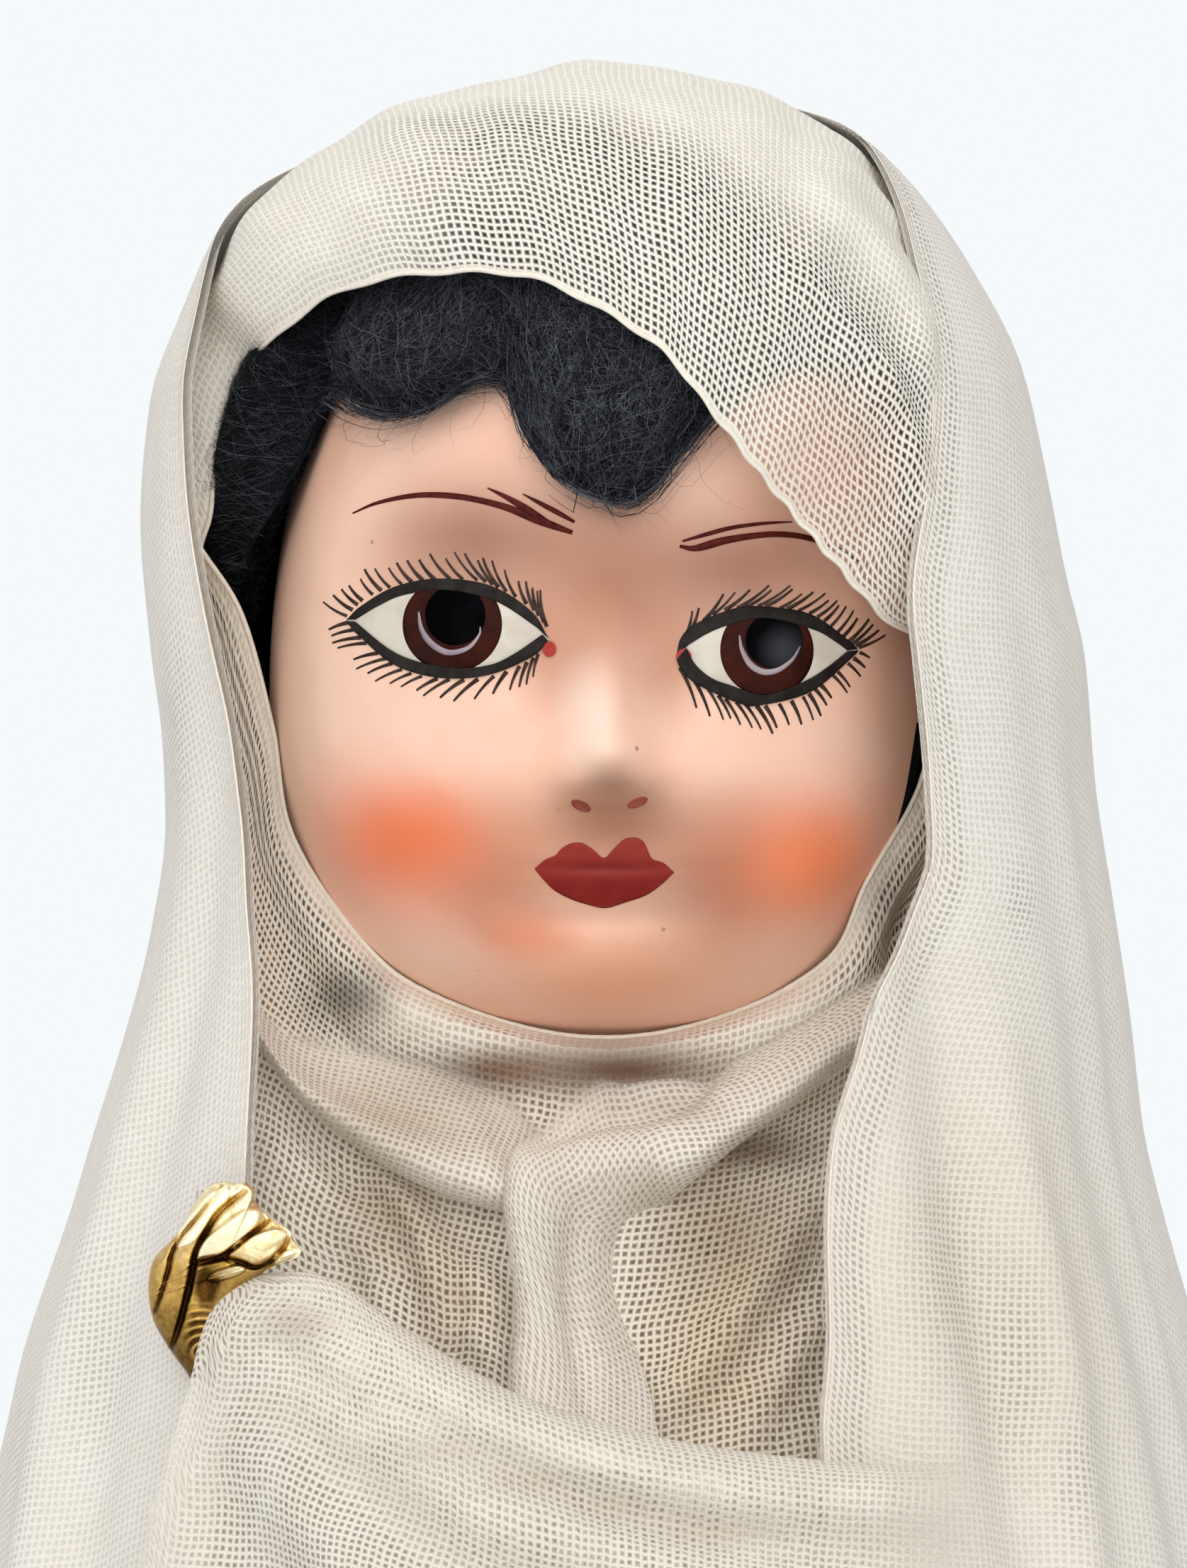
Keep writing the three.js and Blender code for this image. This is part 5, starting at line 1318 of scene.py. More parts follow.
# %% Cowl
WRAP_GUIDES = [
    [(-29.3, -7.5, 305), (-30.3, -5, 303), (-31, -2, 301), (-31.4, 2, 299), (-31.6, 6, 296),
     (-31.8, 10, 292)],
    [(-26.3, -6.8, 300.1), (-28, -6, 298), (-29.5, -4.5, 295.5), (-30.4, -2, 292), (-30.8, 1, 287),
     (-31, 4, 280)],
    [(-24.1, -6.5, 292), (-26, -7, 289.5), (-28, -7, 286), (-29.3, -6, 281.5), (-30.2, -4, 275),
     (-31, -2, 266)],
    [(-22.4, -8.2, 283.7), (-24.4, -9, 280.7), (-26.2, -11, 276.5), (-28, -11.5, 271), (-29.5, -11.5, 264),
     (-31, -11, 254)],
    [(-15.8, -10.2, 274.7), (-18, -12.9, 271.8), (-20.5, -15.2, 268), (-23, -17.5, 262.5), (-25.5, -19, 255),
     (-28, -20, 246)],
    [(-8, -11.5, 270.9), (-9.3, -15.5, 268.3), (-10.8, -19.3, 265), (-12.5, -22.3, 260), (-14, -24.5, 253.5),
     (-15.5, -31.5, 236)],
    [(0.3, -12.5, 269.7), (0.2, -16.8, 267.2), (0, -20.8, 263.8), (-0.3, -24, 258.8), (-0.5, -26.2, 251),
     (-0.5, -34.5, 230)],
    [(8.5, -11.5, 271.1), (9.8, -15.5, 268.5), (11, -19.3, 265), (12.3, -22.3, 260), (13.3, -24.5, 252),
     (14, -33, 230)],
    [(15.8, -11.8, 275.3), (18, -13.3, 272.3), (20.3, -15, 268.3), (22.5, -17.2, 262.5), (24.3, -18.8, 255),
     (25, -25.5, 236)],
    [(18.5, -13.7, 281), (21.4, -12.4, 278.2), (24.4, -11.2, 274.5), (27, -11.5, 269.5), (29, -11.5, 262.5),
     (31, -11, 252.5)],
    [(22.4, -10.4, 288), (24.6, -9.5, 285.5), (26.8, -7.5, 282), (28.8, -6.5, 277.5), (30.5, -5, 271),
     (32, -3, 262)],
    [(23.6, -8.2, 295), (25.8, -7.4, 293), (28, -5.5, 290), (30, -4, 286), (31.5, -1.5, 280.5),
     (32.5, 1.5, 273)],
]
JAW_ROLL = [
    (-25, 287), (-22.9, 281.7), (-17.6, 274.2), (-13.6, 271.8), (-8.8, 269.6), (-3.5, 268.1), (0.3, 267.9),
    (4, 268.4), (9, 270), (13.6, 272), (18.2, 276), (23, 284),
]
COWL_FOLDS = [
    ([(15.3, 258.2), (11.8, 254), (7.2, 248.7), (2.3, 243.8)], 1.5, 1.7),
    ([(17, 252), (13, 247.5), (9.5, 242)], 1.0, 1.5),
    ([(-19.1, 263.5), (-15.6, 260), (-13.5, 255.8), (-12.4, 251)], 1.5, 1.5),
    ([(-23, 262), (-19.8, 258.6), (-17.6, 254), (-17, 249)], 1.2, 1.5),
    ([(-11.2, 254.6), (-9.2, 253.2), (-7.8, 250.5)], 2.2, 2.0),
    ([(-11, 250.5), (-9, 249.6), (-7.5, 247.6)], 1.6, 1.3),
]


def cowl_shape(rows=130, columns=220):
    """Splines across the guides and then along them; below the jaw's roll the cloth falls back."""
    across = spline(WRAP_GUIDES, np.linspace(0, 1, columns))
    points = spline(np.swapaxes(across, 0, 1), np.linspace(0, 1, rows))
    x, z = points[..., 0], points[..., 2]
    drop = np.linalg.norm(points - points[0], axis=2)
    central = step(26, 18, np.abs(x))
    back = 4.4 * step(2.3, 5.0, drop) * central
    roll = swag(x, z, JAW_ROLL, 0.9, 1.5) * central
    folds = sum(swag(x, z, *one) for one in COWL_FOLDS)
    out = normals(points)
    return points - np.sign(out[..., 1:2]) * (roll + folds - back)[..., None] * out


wrap_grid = cowl_shape()
wrap = piece("wrap", wrap_grid, WRAP_GAUZE, cut_uv(wrap_grid))
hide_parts("chin_wrap")
wrap_hem = gauze_hem("wrap_hem", wrap_grid[0])
UNDER_GAP = np.array([0, 2.4, 0])
under_grid = wrap_grid[36::2, 64:-56:2] + UNDER_GAP
under_wrap = piece("under_wrap", under_grid, UNDER_GAUZE, cut_uv(under_grid))

# %% [markdown]
# ## Swags
#
# Two bands of the veil cross on the chest. One sweeps from the right shoulder to the middle. The other comes
# from the left, makes a small curl under the chin and turns down into a soft upright roll. Each is a band
# between two drawn borders, bulging between them.

# %% Swags
LEFT_SWAG = {
    "upper": [(19.5, 275.5), (17, 274), (12.5, 271), (7.5, 268.4), (5, 267.5), (1.1, 266.8), (-1, 266.3),
              (-4.4, 264.3), (-6.9, 262), (-7.5, 259), (-7.1, 255), (-6.7, 250.6), (-7, 246), (-7.5, 240)],
    "lower": [(20, 269.5), (17, 268), (13.4, 265.2), (10.3, 263.1), (7.4, 260.9), (5.2, 259.1), (3.6, 257.5),
              (2.5, 255.9), (1.8, 254.2), (1.5, 252.4), (1.6, 250.4), (2.1, 248), (3, 245), (4, 240)],
    "upper depth": [-11, -11.6, -12.4, -12.6, -12.8, -13.4, -14.5, -17.5, -20.5, -21.8,
                    -22.6, -23.8, -27, -32],
    "lower depth": [-14, -15.2, -17.6, -19, -20.6, -20.4, -18.4, -17.8, -18.4, -19.2,
                    -20.4, -22.4, -25.6, -31],
    "bulge": [2.4, 2.8, 3.2, 3.6, 4.0, 4.6, 5.0, 5.0, 4.8, 4.6, 4.4, 4.2, 4.0, 3.8],
    "crest": [0.7, 0.7, 0.7, 0.7, 0.68, 0.62, 0.52, 0.4, 0.3, 0.26, 0.25, 0.25, 0.25, 0.25],
    "folds": [([(-5, 263), (-0.4, 264.6), (4.2, 265.2), (6.3, 266.1), (7.5, 267.9)], -1.3, 0.9),
              ([(-3.9, 265.3), (0, 266.5), (4, 266.4), (6, 267.2)], 0.9, 0.9),
              ([(15, 270.2), (9, 266.4), (4, 263.2), (-1, 260.8)], 0.6, 1.2),
              ([(-2, 258), (-2.4, 253), (-1.8, 247), (-0.8, 242)], -0.6, 1.0)],
}
RIGHT_SWAG = {
    "upper": [(-27, 277), (-24.4, 273), (-20.8, 270.4), (-15.6, 269.4), (-10.5, 268), (-6.5, 265.9),
              (-4, 262.5)],
    "lower": [(-27.5, 272), (-24.5, 268.5), (-21.8, 265.2), (-17.8, 262.1), (-13.6, 259.7), (-8, 257.8),
              (-3, 257)],
    "upper depth": [-9, -10.8, -10.2, -11, -12.4, -13.6, -16],
    "lower depth": [-12.6, -15.2, -16.4, -18.6, -20.4, -21.6, -21],
    "bulge": [2, 2.6, 3.2, 3.6, 3.8, 3.6, 2.6],
    "crest": [0.6, 0.66, 0.7, 0.72, 0.72, 0.7, 0.65],
    "folds": [([(-25.5, 272.5), (-21, 267.8), (-14, 264.8), (-8.5, 263)], -0.6, 1.2),
              ([(-13, 267), (-9.5, 263.5), (-8, 259.5)], 0.5, 1.2)],
}


def swag_shape(band, rows=90, columns=200):
    """From the band's upper border to its lower one, standing forward by the bulge, most at the crest.

    A share v is bent to v^c with c = ln 0.5 / ln crest, which takes the crest to a half, and sin(pi v^c)
    is a hump that is highest there.
    """
    along = np.linspace(0, 1, columns)
    share = share_down(rows)
    flat = between(spline(band["upper"], along), spline(band["lower"], along), rows)
    names = ("upper depth", "lower depth", "bulge", "crest")
    upper, lower, bulge, crest = (spline(np.array(band[name]), along) for name in names)
    hump = np.sin(np.pi * share ** (np.log(0.5) / np.log(crest)))
    y = (1 - share) * upper + share * lower - bulge * np.maximum(hump, 0) ** 0.8
    return swagged(xyz(flat[..., 0], y, flat[..., 1]), band["folds"])


swags = []
for label, band in (("right_swag", RIGHT_SWAG), ("left_swag", LEFT_SWAG)):
    grid = swag_shape(band)
    swags.append(piece(label, grid, SWAG_GAUZE, cut_uv(grid)))
for cloth in (wrap, wrap_hem, under_wrap, *swags):
    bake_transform(cloth)
print("wrap area, m2:", round(area_of(wrap), 4), "under it:", round(area_of(under_wrap), 4))

# %% [markdown]
# ## Sash
#
# The veil's end is brought across the chest, over the falls, and pinned at the right shoulder. From the pin
# the upper edge sags across to the left, with long folds fanning out of the pinned corner. At the left it
# thins out before it meets the fall.

# %% Sash
SASH_TOP = [
    (-40, 251.5), (-36, 253.2), (-32.7, 253.7), (-28.4, 253.1), (-22, 250.4), (-16, 247.6), (-9, 244.8),
    (-2, 243.2), (5.3, 241.8), (16, 240.7), (27, 239.9), (38.6, 241), (50, 243.5), (58, 246),
]
SASH_FROM, SASH_TO = -40, 58  # degrees from the front
SASH_HEM_Z = 160.0
SASH_SWAGS = [
    ([(-25, 251.5), (-16, 247.5), (-6, 242.3), (6, 239), (20, 237.5), (33, 239)], 2.4, 2.0),
    ([(-26, 249.5), (-18, 243.5), (-7, 236.5), (8, 231), (25, 228), (36, 230)], 2.8, 2.8),
    ([(-27, 247.5), (-23, 240), (-15, 230), (-3, 220), (15, 212), (32, 210)], 3.0, 3.4),
    ([(-29, 246), (-28.5, 236), (-25, 222), (-18, 206), (-8, 192), (8, 182)], 2.0, 3.2),
    ([(-30.5, 243), (-31.5, 228), (-31, 205), (-29, 180)], 1.6, 2.6),
    ([(-20, 248.6), (-10, 240.5), (2, 235), (16, 232.5)], 0.8, 1.2),
]


def sash_shape(rows=150, columns=200, roll_rows=16):
    """From the sagging upper edge straight down to the hem, on the veil's outline grown by a standoff that is
    least at the pin. The first rows turn over a round fold at the upper edge and end inside it."""
    roll = np.concatenate([np.linspace(0.85 * np.pi, 0, roll_rows, endpoint=False), np.zeros(rows)])[:, None]
    share = np.concatenate([np.zeros(roll_rows), np.linspace(0, 1, rows)])[:, None]
    across = np.linspace(0, 1, columns)[None]
    pinned_border = -38.2 - 4.6 * step(0, 0.25, share)
    degrees = pinned_border + (SASH_TO - pinned_border) * across
    fold = 0.5 + 1.3 * step(0, 0.25, across)
    top = smooth(SASH_TOP, SASH_FROM + (SASH_TO - SASH_FROM) * across) - fold
    z = top + (SASH_HEM_Z - 5 * np.sin(np.pi * across) - top) * share + fold * np.sin(roll)
    angle = np.radians(degrees)
    stand = 2.2 + 2.6 * step(0, 0.3, across) + 0.8 * share - 7.0 * step(36, 47, degrees)
    waves = 0.9 * np.cos(9.5 * angle + 2.2 * share) * step(0.1, 0.7, share)
    return veil_point(angle, z, stand + waves - fold * (1 - np.cos(roll)))


sash_grid = swagged(sash_shape(), SASH_SWAGS)
sash = piece("sash", sash_grid, SASH_GAUZE, cut_uv(sash_grid))
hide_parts("chest_sash")
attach(sash, "torso")
print("sash area, m2:", round(area_of(sash), 4))

# %% [markdown]
# ## Brooch
#
# A pressed gilt leaf pins the veil. Grooves part it into broad bands, raised flakes carry a painted
# highlight, and small ripples lie below its hollow, painted in light and shade. The leaf is worked out as
# rings about its hollow, each point with a height above the slanted plane that it lies on.

# %% Gilt
def gilt_finish():
    """Old gold leaf: pale where it is scuffed and under a painted highlight, brown in the grooves, and of
    uneven gloss.
    """
    material, tree, shader = finish("gilt", metallic=1.0, roughness=0.3)
    coords = own_coords(tree)
    patches = noise(tree, coords, 1100.0, 4.0, 0.65)
    patchy = calc(tree, "MULTIPLY", calc(tree, "SUBTRACT", patches, 0.5), 0.5)
    # the leaf's wear and painted highlight, broken up in patches
    uneven = calc(tree, "ADD", attribute(tree, "wear_and_highlight"), patchy)
    colour = tint(tree, edge(tree, uneven, 0.0, 0.5), "4A3010", "B8924C")
    colour = tint(tree, edge(tree, uneven, 0.4, 0.95), colour, "FFF4CC")
    dents = noise(tree, coords, 1800.0, 3.0)
    feed(tree, shader, dents, 0.08, base_color=colour, roughness=scaled(tree, patches, 0.2, 0.5))
    return material

# %% Leaf
LEAF_OUTLINE = [
    (-21.49, 255.24), (-22.15, 256), (-22.38, 256.69), (-23.7, 257.46), (-24.21, 258.01), (-24.87, 258.79),
    (-24.84, 259.45), (-25.53, 259.96), (-26.22, 259.9), (-26.91, 260.02), (-27.83, 259.79),
    (-28.63, 259.16), (-29.44, 257.9), (-30.01, 256.75), (-30.81, 255.83), (-31.73, 254.91), (-32.19, 254),
    (-32.36, 252.73), (-32.3, 251.47), (-31.96, 250.09), (-31.27, 248.83), (-30.58, 247.8), (-29.78, 246.77),
    (-29.2, 246.1), (-28.2, 247.2), (-27.2, 249.8), (-25.9, 252.2), (-24.5, 253.5), (-23.35, 254.2),
    (-21.8, 254.8), (-21.49, 255.24),
]
LEAF_HOLLOW = (-27.3, 253.6)
LEAF_SLOPE = -0.55
LEAF_BACK = 0.7
LEAF_GROOVES = [
    ([(-27.2, 259.7), (-28.86, 257.55), (-30.01, 256.18), (-30.7, 254.91), (-30.93, 253.77), (-31.39, 252.27),
      (-31.85, 250.9)], 0.5, 0.17),
    ([(-25.5, 259.4), (-27.25, 258.01), (-28.17, 256.64), (-28.86, 255.26), (-29.09, 254.46),
      (-29.32, 253.08), (-29.66, 251.7), (-30.01, 250.32), (-30.35, 249.29), (-30.7, 248.2)], 0.7, 0.2),
    ([(-23.5, 257.6), (-25.19, 256.23), (-26.91, 254.97), (-28.63, 254.63)], 0.5, 0.14),
    ([(-28.8, 254.3), (-27.03, 254.7), (-26.11, 254.5), (-24.62, 254.1), (-23.35, 254.74),
      (-22.32, 256.06)], 0.6, 0.2),
]
LEAF_FLAKES = [
    ((-24.2, 258.2), (-28.9, 254.6), 0.8, 0.55, 0.5),
    ((-21.9, 256.4), (-26.7, 254.6), 1.0, 0.35, 0.12),
    ((-21.2, 255.2), (-23.6, 254.5), 0.45, 0.3, 0.3),
    ((-25.3, 254.1), (-28.2, 253.2), 0.4, 0.55, 0.22),
    ((-26.6, 259.7), (-30.4, 255.4), 0.75, 0.2, 0.35),
]  # start, end, half width, lift and painted highlight


def flake(x, z, start, end, half):
    """A lens from start to end, half wide in its middle: 1 inside, 0 outside; also the place across it."""
    start, end = np.array(start), np.array(end)
    size = np.linalg.norm(end - start)
    along = ((x - start[0]) * (end - start)[0] + (z - start[1]) * (end - start)[1]) / size
    across = ((x - start[0]) * (end - start)[1] - (z - start[1]) * (end - start)[0]) / size
    room = half * np.maximum(1 - (2 * along / size - 1) ** 4, 0) - np.abs(across)
    return step(-0.08, 0.14, room), across / half


def leaf_shape(rings=60, sides=320):
    """The leaf's face from its hollow out to the rim, then its back in again; also how rubbed each point is.

    A low dome carries drawn grooves, raised flakes that tilt across their width, a hollow in the middle and a
    The leaf's face from its hollow to the rim, then its back in again; also its wear and painted highlight.
    """
    rim = curve(LEAF_OUTLINE, sides + 1)
    share = share_down(rings)
    flat = np.array(LEAF_HOLLOW) + share[..., None] * (rim - np.array(LEAF_HOLLOW))[None]
    x, z = flat[..., 0], flat[..., 1]
    height = LEAF_BACK + 1.7 * np.sqrt(np.maximum(1 - share**3, 0)) - 0.25 * (x + 27)
    hollow = np.exp(-(((x + 28.2) / 1.0) ** 2) - ((z - 252.9) / 1.5) ** 2)
    ripple = np.sin(np.hypot(x + 28.5, z - 248) * 2 * np.pi / 0.58)
    ripple = ripple * np.exp(-(((x + 28.7) / 0.9) ** 4) - ((z - 249.5) / 1.7) ** 4)
    # painted light and shade: paler towards the top, light and dark rings on the ripples; patina in the
    # hollow
    wear_and_highlight = 0.42 + 0.05 * (z - 253) - 0.5 * hollow + 0.3 * ripple
    height = height - 0.9 * hollow + 0.16 * ripple
    # each flake carries a painted highlight
    for start, end, half, lift, painted_highlight in LEAF_FLAKES:
        inside, across = flake(x, z, start, end, half)
        height = height + lift * inside * (1 + 0.5 * across)
        wear_and_highlight = wear_and_highlight + painted_highlight * inside
    for path, deep, width in LEAF_GROOVES:
        cut = swag(x, z, path, 1.0, width)
        height = height - deep * cut
        wear_and_highlight = wear_and_highlight - 0.7 * cut
    height = np.concatenate([np.maximum(height, LEAF_BACK * 0.6), (0 * height)[::-1]])
    flat = np.concatenate([flat, flat[::-1]])
    wear_and_highlight = np.clip(np.concatenate([wear_and_highlight, 0 * wear_and_highlight + 0.3]), 0, 1)
    seat = veil_point(np.radians(-40.0), np.array(253.0), 2.4)
    plane_y = seat[1] + LEAF_SLOPE * (flat[..., 0] - seat[0])
    return xyz(flat[..., 0], plane_y, flat[..., 1]) - height[..., None] * np.array([0, 1.1, 0]), wear_and_highlight


leaf_grid, leaf_wear_and_highlight = leaf_shape()
leaf = piece("brooch_leaf", leaf_grid, gilt_finish(), close=False)
note(leaf, "wear_and_highlight", leaf_wear_and_highlight)
weld(leaf.data, 1e-6, outward=True)
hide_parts("brooch")
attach(leaf, "torso")

# %% [markdown]
# ## Gown
#
# The gown is plain ivory cotton in four gores, drawn in at the waist and standing out in soft folds at the
# hem. It is one closed surface round the doll: an oval at each height, waved by folds that deepen with
# the drop. The hem is turned up inside and sewn with a running stitch.

# %% Cotton
def cotton_finish():
    """Plain cotton: a tight weave as relief, faint slubs of tone, patches of dust, and a soft sheen."""
    material, tree, shader = finish("gown cotton", roughness=0.85, specular_ior_level=0.2, sheen_weight=0.2)
    cut = put(tree, "ShaderNodeUVMap", uv_map="cut").outputs[0]
    cloth = place(tree, weave, {"Cut": cut, "Pitch": 0.36 * MM, "Thread": 0.8, "Slack": 0.2})
    colour = tint(tree, cloth["Tone"], "DDD2BC", "EAE2D1")
    dusty = edge(tree, noise(tree, own_coords(tree), 35.0, 4.0), 0.5, 0.8)
    colour = tint(tree, calc(tree, "MULTIPLY", dusty, 0.35), colour, "CDBD9F")
    feed(tree, shader, cloth["Height"], 0.05, base_color=colour)
    return material


COTTON = cotton_finish()

# %% Gown
GOWN_TOP, GOWN_HEM = 228.0, 26.0
GOWN_WIDE = [
    (26, 54), (60, 48.5), (110, 40), (151, 31.5), (173.7, 26.6), (199.6, 21.6), (212, 22.4), (228, 24.1),
]
GOWN_DEEP = [
    (26, 50), (60, 44), (110, 35.5), (151, 27), (173.7, 22), (199.6, 16.8), (212, 17.3), (228, 18.2),
]
TURN_UP = 7.0
STITCHES = 170


def gown_point(angle, z, inside):
    """The gown at an angle from the front and a height: an oval, twelve folds that deepen to the hem, small
    gathers at the waist and a faint groove along the four seams."""
    drop = (GOWN_TOP - z) / (GOWN_TOP - GOWN_HEM)
    folds = 2.4 * drop * np.cos(12 * angle + 0.25 * np.sin(3 * angle + z / 60))
    gathers = 0.5 * step(0, 0.15, drop) * np.cos(31 * angle + 0.4)
    folds += 1.0 * drop * np.cos(19 * angle + 1.3 + z / 45) + gathers
    seam = -0.35 * bell(np.abs(np.abs(angle) % (np.pi / 2) - np.pi / 4) * 40, 0, 0.9)
    away = folds + seam - inside
    wide, deep = smooth(GOWN_WIDE, z) + away, smooth(GOWN_DEEP, z) + away
    return xyz(wide * np.sin(angle), -deep * np.cos(angle), z)


def gown_shape(rows=90, columns=420, turned_rows=7):
    """From the top edge down to the hem, then turned in and up again."""
    angle = turn_round(columns, -np.pi)
    outside = gown_point(angle, np.linspace(GOWN_TOP, GOWN_HEM, rows)[:, None], 0.0)
    inside = gown_point(angle, np.linspace(GOWN_HEM, GOWN_HEM + TURN_UP, turned_rows)[:, None], 0.7)
    return np.concatenate([outside, inside])


def stitches(angle, z, run, lift):
    """Short thread loops along the cloth, each from its angle on by run: a tube that dips in at its ends."""
    along = np.linspace(0, 1, 5)
    turned = angle[:, None] + run * along
    path = gown_point(turned, np.full_like(turned, z), 0.15 - lift * np.sin(np.pi * along))
    return np.stack([tube(one, 0.16, 5) for one in path])


gown_grid = gown_shape()
gown = piece("gown", gown_grid, COTTON, cut_uv(gown_grid), flip=True)
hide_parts("gown_front", "gown_left", "gown_back", "gown_right")
stitch_angles = np.linspace(-np.pi, np.pi, STITCHES, endpoint=False)
stitch_grids = stitches(stitch_angles, GOWN_HEM + TURN_UP - 1.2, 0.021, 0.35)
hem_stitches = piece("hem_stitches", stitch_grids, HEM_GAUZE)
for cloth in (gown, hem_stitches):
    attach(cloth, "torso")
print("gown area, m2:", round(area_of(gown), 4))

# %% [markdown]
# ## Arms and legs
#
# The limbs are moulded and painted like the face. Each is a round profile carried down a straight line, with
# a flattened mitten of a hand: grooves part the fingers and a swelling makes the thumb. They swing on wires,
# so each is one closed piece.

# %% Arms
LIMB_PAINT = paint("limb paint", "EDBA9F", "E6AC90", 0.42, cloud=0.009)
SIDES = {"left": 1, "right": -1}
ARM_X, ARM_SPLAY = 31.3, 0.0875
HAND_Z, SHOULDER_Z, ARM_TOP_Z = 151.0, 243.0, 249.6
FINGER_GAPS = (-2.3, 0.1, 2.4)
ARM_PROFILE = [
    (151, 0), (151.6, 1.9), (153.3, 3.5), (156.5, 4.6), (160, 5), (164, 4.75), (168, 3.8), (171, 3.4),
    (178, 3.9), (190, 5.1), (204, 5.0), (209, 4.95), (222, 5.9), (236, 6.6), (243, 6.6), (246.5, 5.6),
    (248.6, 3.4), (249.6, 0),
]


def crowded(rows):
    """A column of shares from 0 to 1 that lie closer at both ends, where a limb is rounded off."""
    share = share_down(rows)
    return share - 0.06 * np.sin(2 * np.pi * share)


def arm_shape(side, rows=120, columns=64):
    """An arm by height and turn: the profile, flattened below the wrist, with the hand's relief."""
    z = HAND_Z + (ARM_TOP_Z - HAND_Z) * crowded(rows)
    turn = turn_round(columns)
    r = smooth(ARM_PROFILE, z)
    flat = 0.6 + 0.4 * step(160, 170, z)
    across, along = np.cos(turn), np.sin(turn)
    y = r * along
    fingers = step(160.5, 157, z) * np.abs(across) ** 0.5
    grooves = 0.75 * fingers * sum(bell(y, middle, 0.45) for middle in FINGER_GAPS)
    thumb = 2.4 * bell(z, 161.5, 4.2) * bell(turn, 1.5 * np.pi, 0.55)
    elbow = -0.4 * bell(z, 205, 1.6) * np.maximum(-along, 0)
    reach = r * flat - grooves + elbow
    x = ARM_X + ARM_SPLAY * np.maximum(SHOULDER_Z - z, 0) + reach * across
    return xyz(side * x, y + (thumb + elbow) * along, z)


# %% Legs
LEG_X = 14.7
LEG_LOW_Z, LEG_TOP_Z = 6.5, 173.0
LEG_PROFILE = [
    (6.5, 0), (7, 4.0), (12, 4.8), (18.5, 4.7), (30, 5.1), (45, 6.5), (59, 7.0), (70, 6.7), (82, 6.4),
    (100, 7.0), (123, 7.8), (145, 8.8), (155, 9), (164, 9), (169, 7.8), (172, 4.8), (173, 0),
]
FOOT_MIDDLE, FOOT_FLOOR = (-5.5, 4.5), 2.6
FOOT_SIZE = np.array([6.2, 17.5, 8.0])


def leg_shape(side, rows=110, columns=60):
    """A leg by height and turn, and a second grid of the same size for the foot: an egg cut flat below."""
    turn = turn_round(columns)
    z = LEG_LOW_Z + (LEG_TOP_Z - LEG_LOW_Z) * crowded(rows)
    r = smooth(LEG_PROFILE, z)
    knee = 0.5 * bell(z, 82, 4.5) * np.maximum(-np.sin(turn), 0)
    calf = 0.7 * bell(z, 57, 13) * np.maximum(np.sin(turn), 0)
    leg = xyz(LEG_X + r * np.cos(turn), (r + knee + calf) * np.sin(turn), z)
    up = np.pi * (share_down(rows) - 0.5)
    foot = xyz(np.cos(up) * np.cos(turn), np.cos(up) * np.sin(turn), np.sin(up)) * FOOT_SIZE
    foot = foot + np.array([LEG_X, *FOOT_MIDDLE])
    foot[..., 2] = np.maximum(foot[..., 2], FOOT_FLOOR)
    return np.stack([leg, foot]) * np.array([side, 1, 1])


for limb, shape in (("_arm", arm_shape), ("_leg", leg_shape)):
    for label, side in SIDES.items():
        made = piece(label + limb + "_shape", shape(side), LIMB_PAINT, flip=side < 0)
        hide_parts(label + limb)
        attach(made, label + limb)

# %% [markdown]
# ## Slippers
#
# Thin brown leather slippers are moulded over the feet and stitched to flat soles. The upper lies on the
# foot's egg, grown by its own thickness, from the sole up to an oval opening that is bound with a narrow
# strip.

# %% Leather
leather_grain, grain_in, grain_out = new_group(
    "leather grain",
    [("Position", VECTOR, None), ("Cell Size", FLOAT, 0.0006)],
    ["Pores", "Rubbed"],
)
cell_scale = calc(leather_grain, "DIVIDE", 1.0, grain_in["Cell Size"])
pores = put(leather_grain, "ShaderNodeTexVoronoi", {"Vector": grain_in["Position"], "Scale": cell_scale})
patches = noise(leather_grain, grain_in["Position"], 220.0, 4.0, 0.6)
give(leather_grain, grain_out, Pores=pores.outputs["Distance"], Rubbed=patches)


def leather(name, colour, wear_and_glare, cell, roughness):
    """Leather: pebbled by cells of that size in metres, and scuffed paler and rougher in patches."""
    material, tree, shader = finish(name, roughness=roughness, specular_ior_level=0.35)
    grain_values = place(tree, leather_grain, {"Position": own_coords(tree), "Cell Size": cell})
    wear_and_highlight = edge(tree, grain_values["Rubbed"], 0.45, 0.75)
    mixed = tint(tree, wear_and_highlight, colour, wear_and_glare)
    rough = scaled(tree, wear_and_highlight, roughness - 0.08, roughness + 0.15)
    feed(tree, shader, grain_values["Pores"], 0.08, base_color=mixed, roughness=rough)
    return material


SLIPPER = leather("slipper leather", "4A2A1B", "6B4329", 0.0006, 0.45)
SOLE = leather("sole leather", "8A6644", "A4835C", 0.0009, 0.65)
WASHER = leather("washer leather", "6E4B30", "8C6A48", 0.0005, 0.7)
BINDING = leather("slipper binding", "2E1A12", "4A2D1E", 0.0003, 0.5)

# %% Slippers
UPPER_SIZE = FOOT_SIZE + 1.6
THROAT_MIDDLE, THROAT_SIZE = 2.4, (5.3, 10.2)
UPPER_TURN = 0.72  # share of the rows at which the upper turns down the foot's side
SOLE_TOP = 2.3


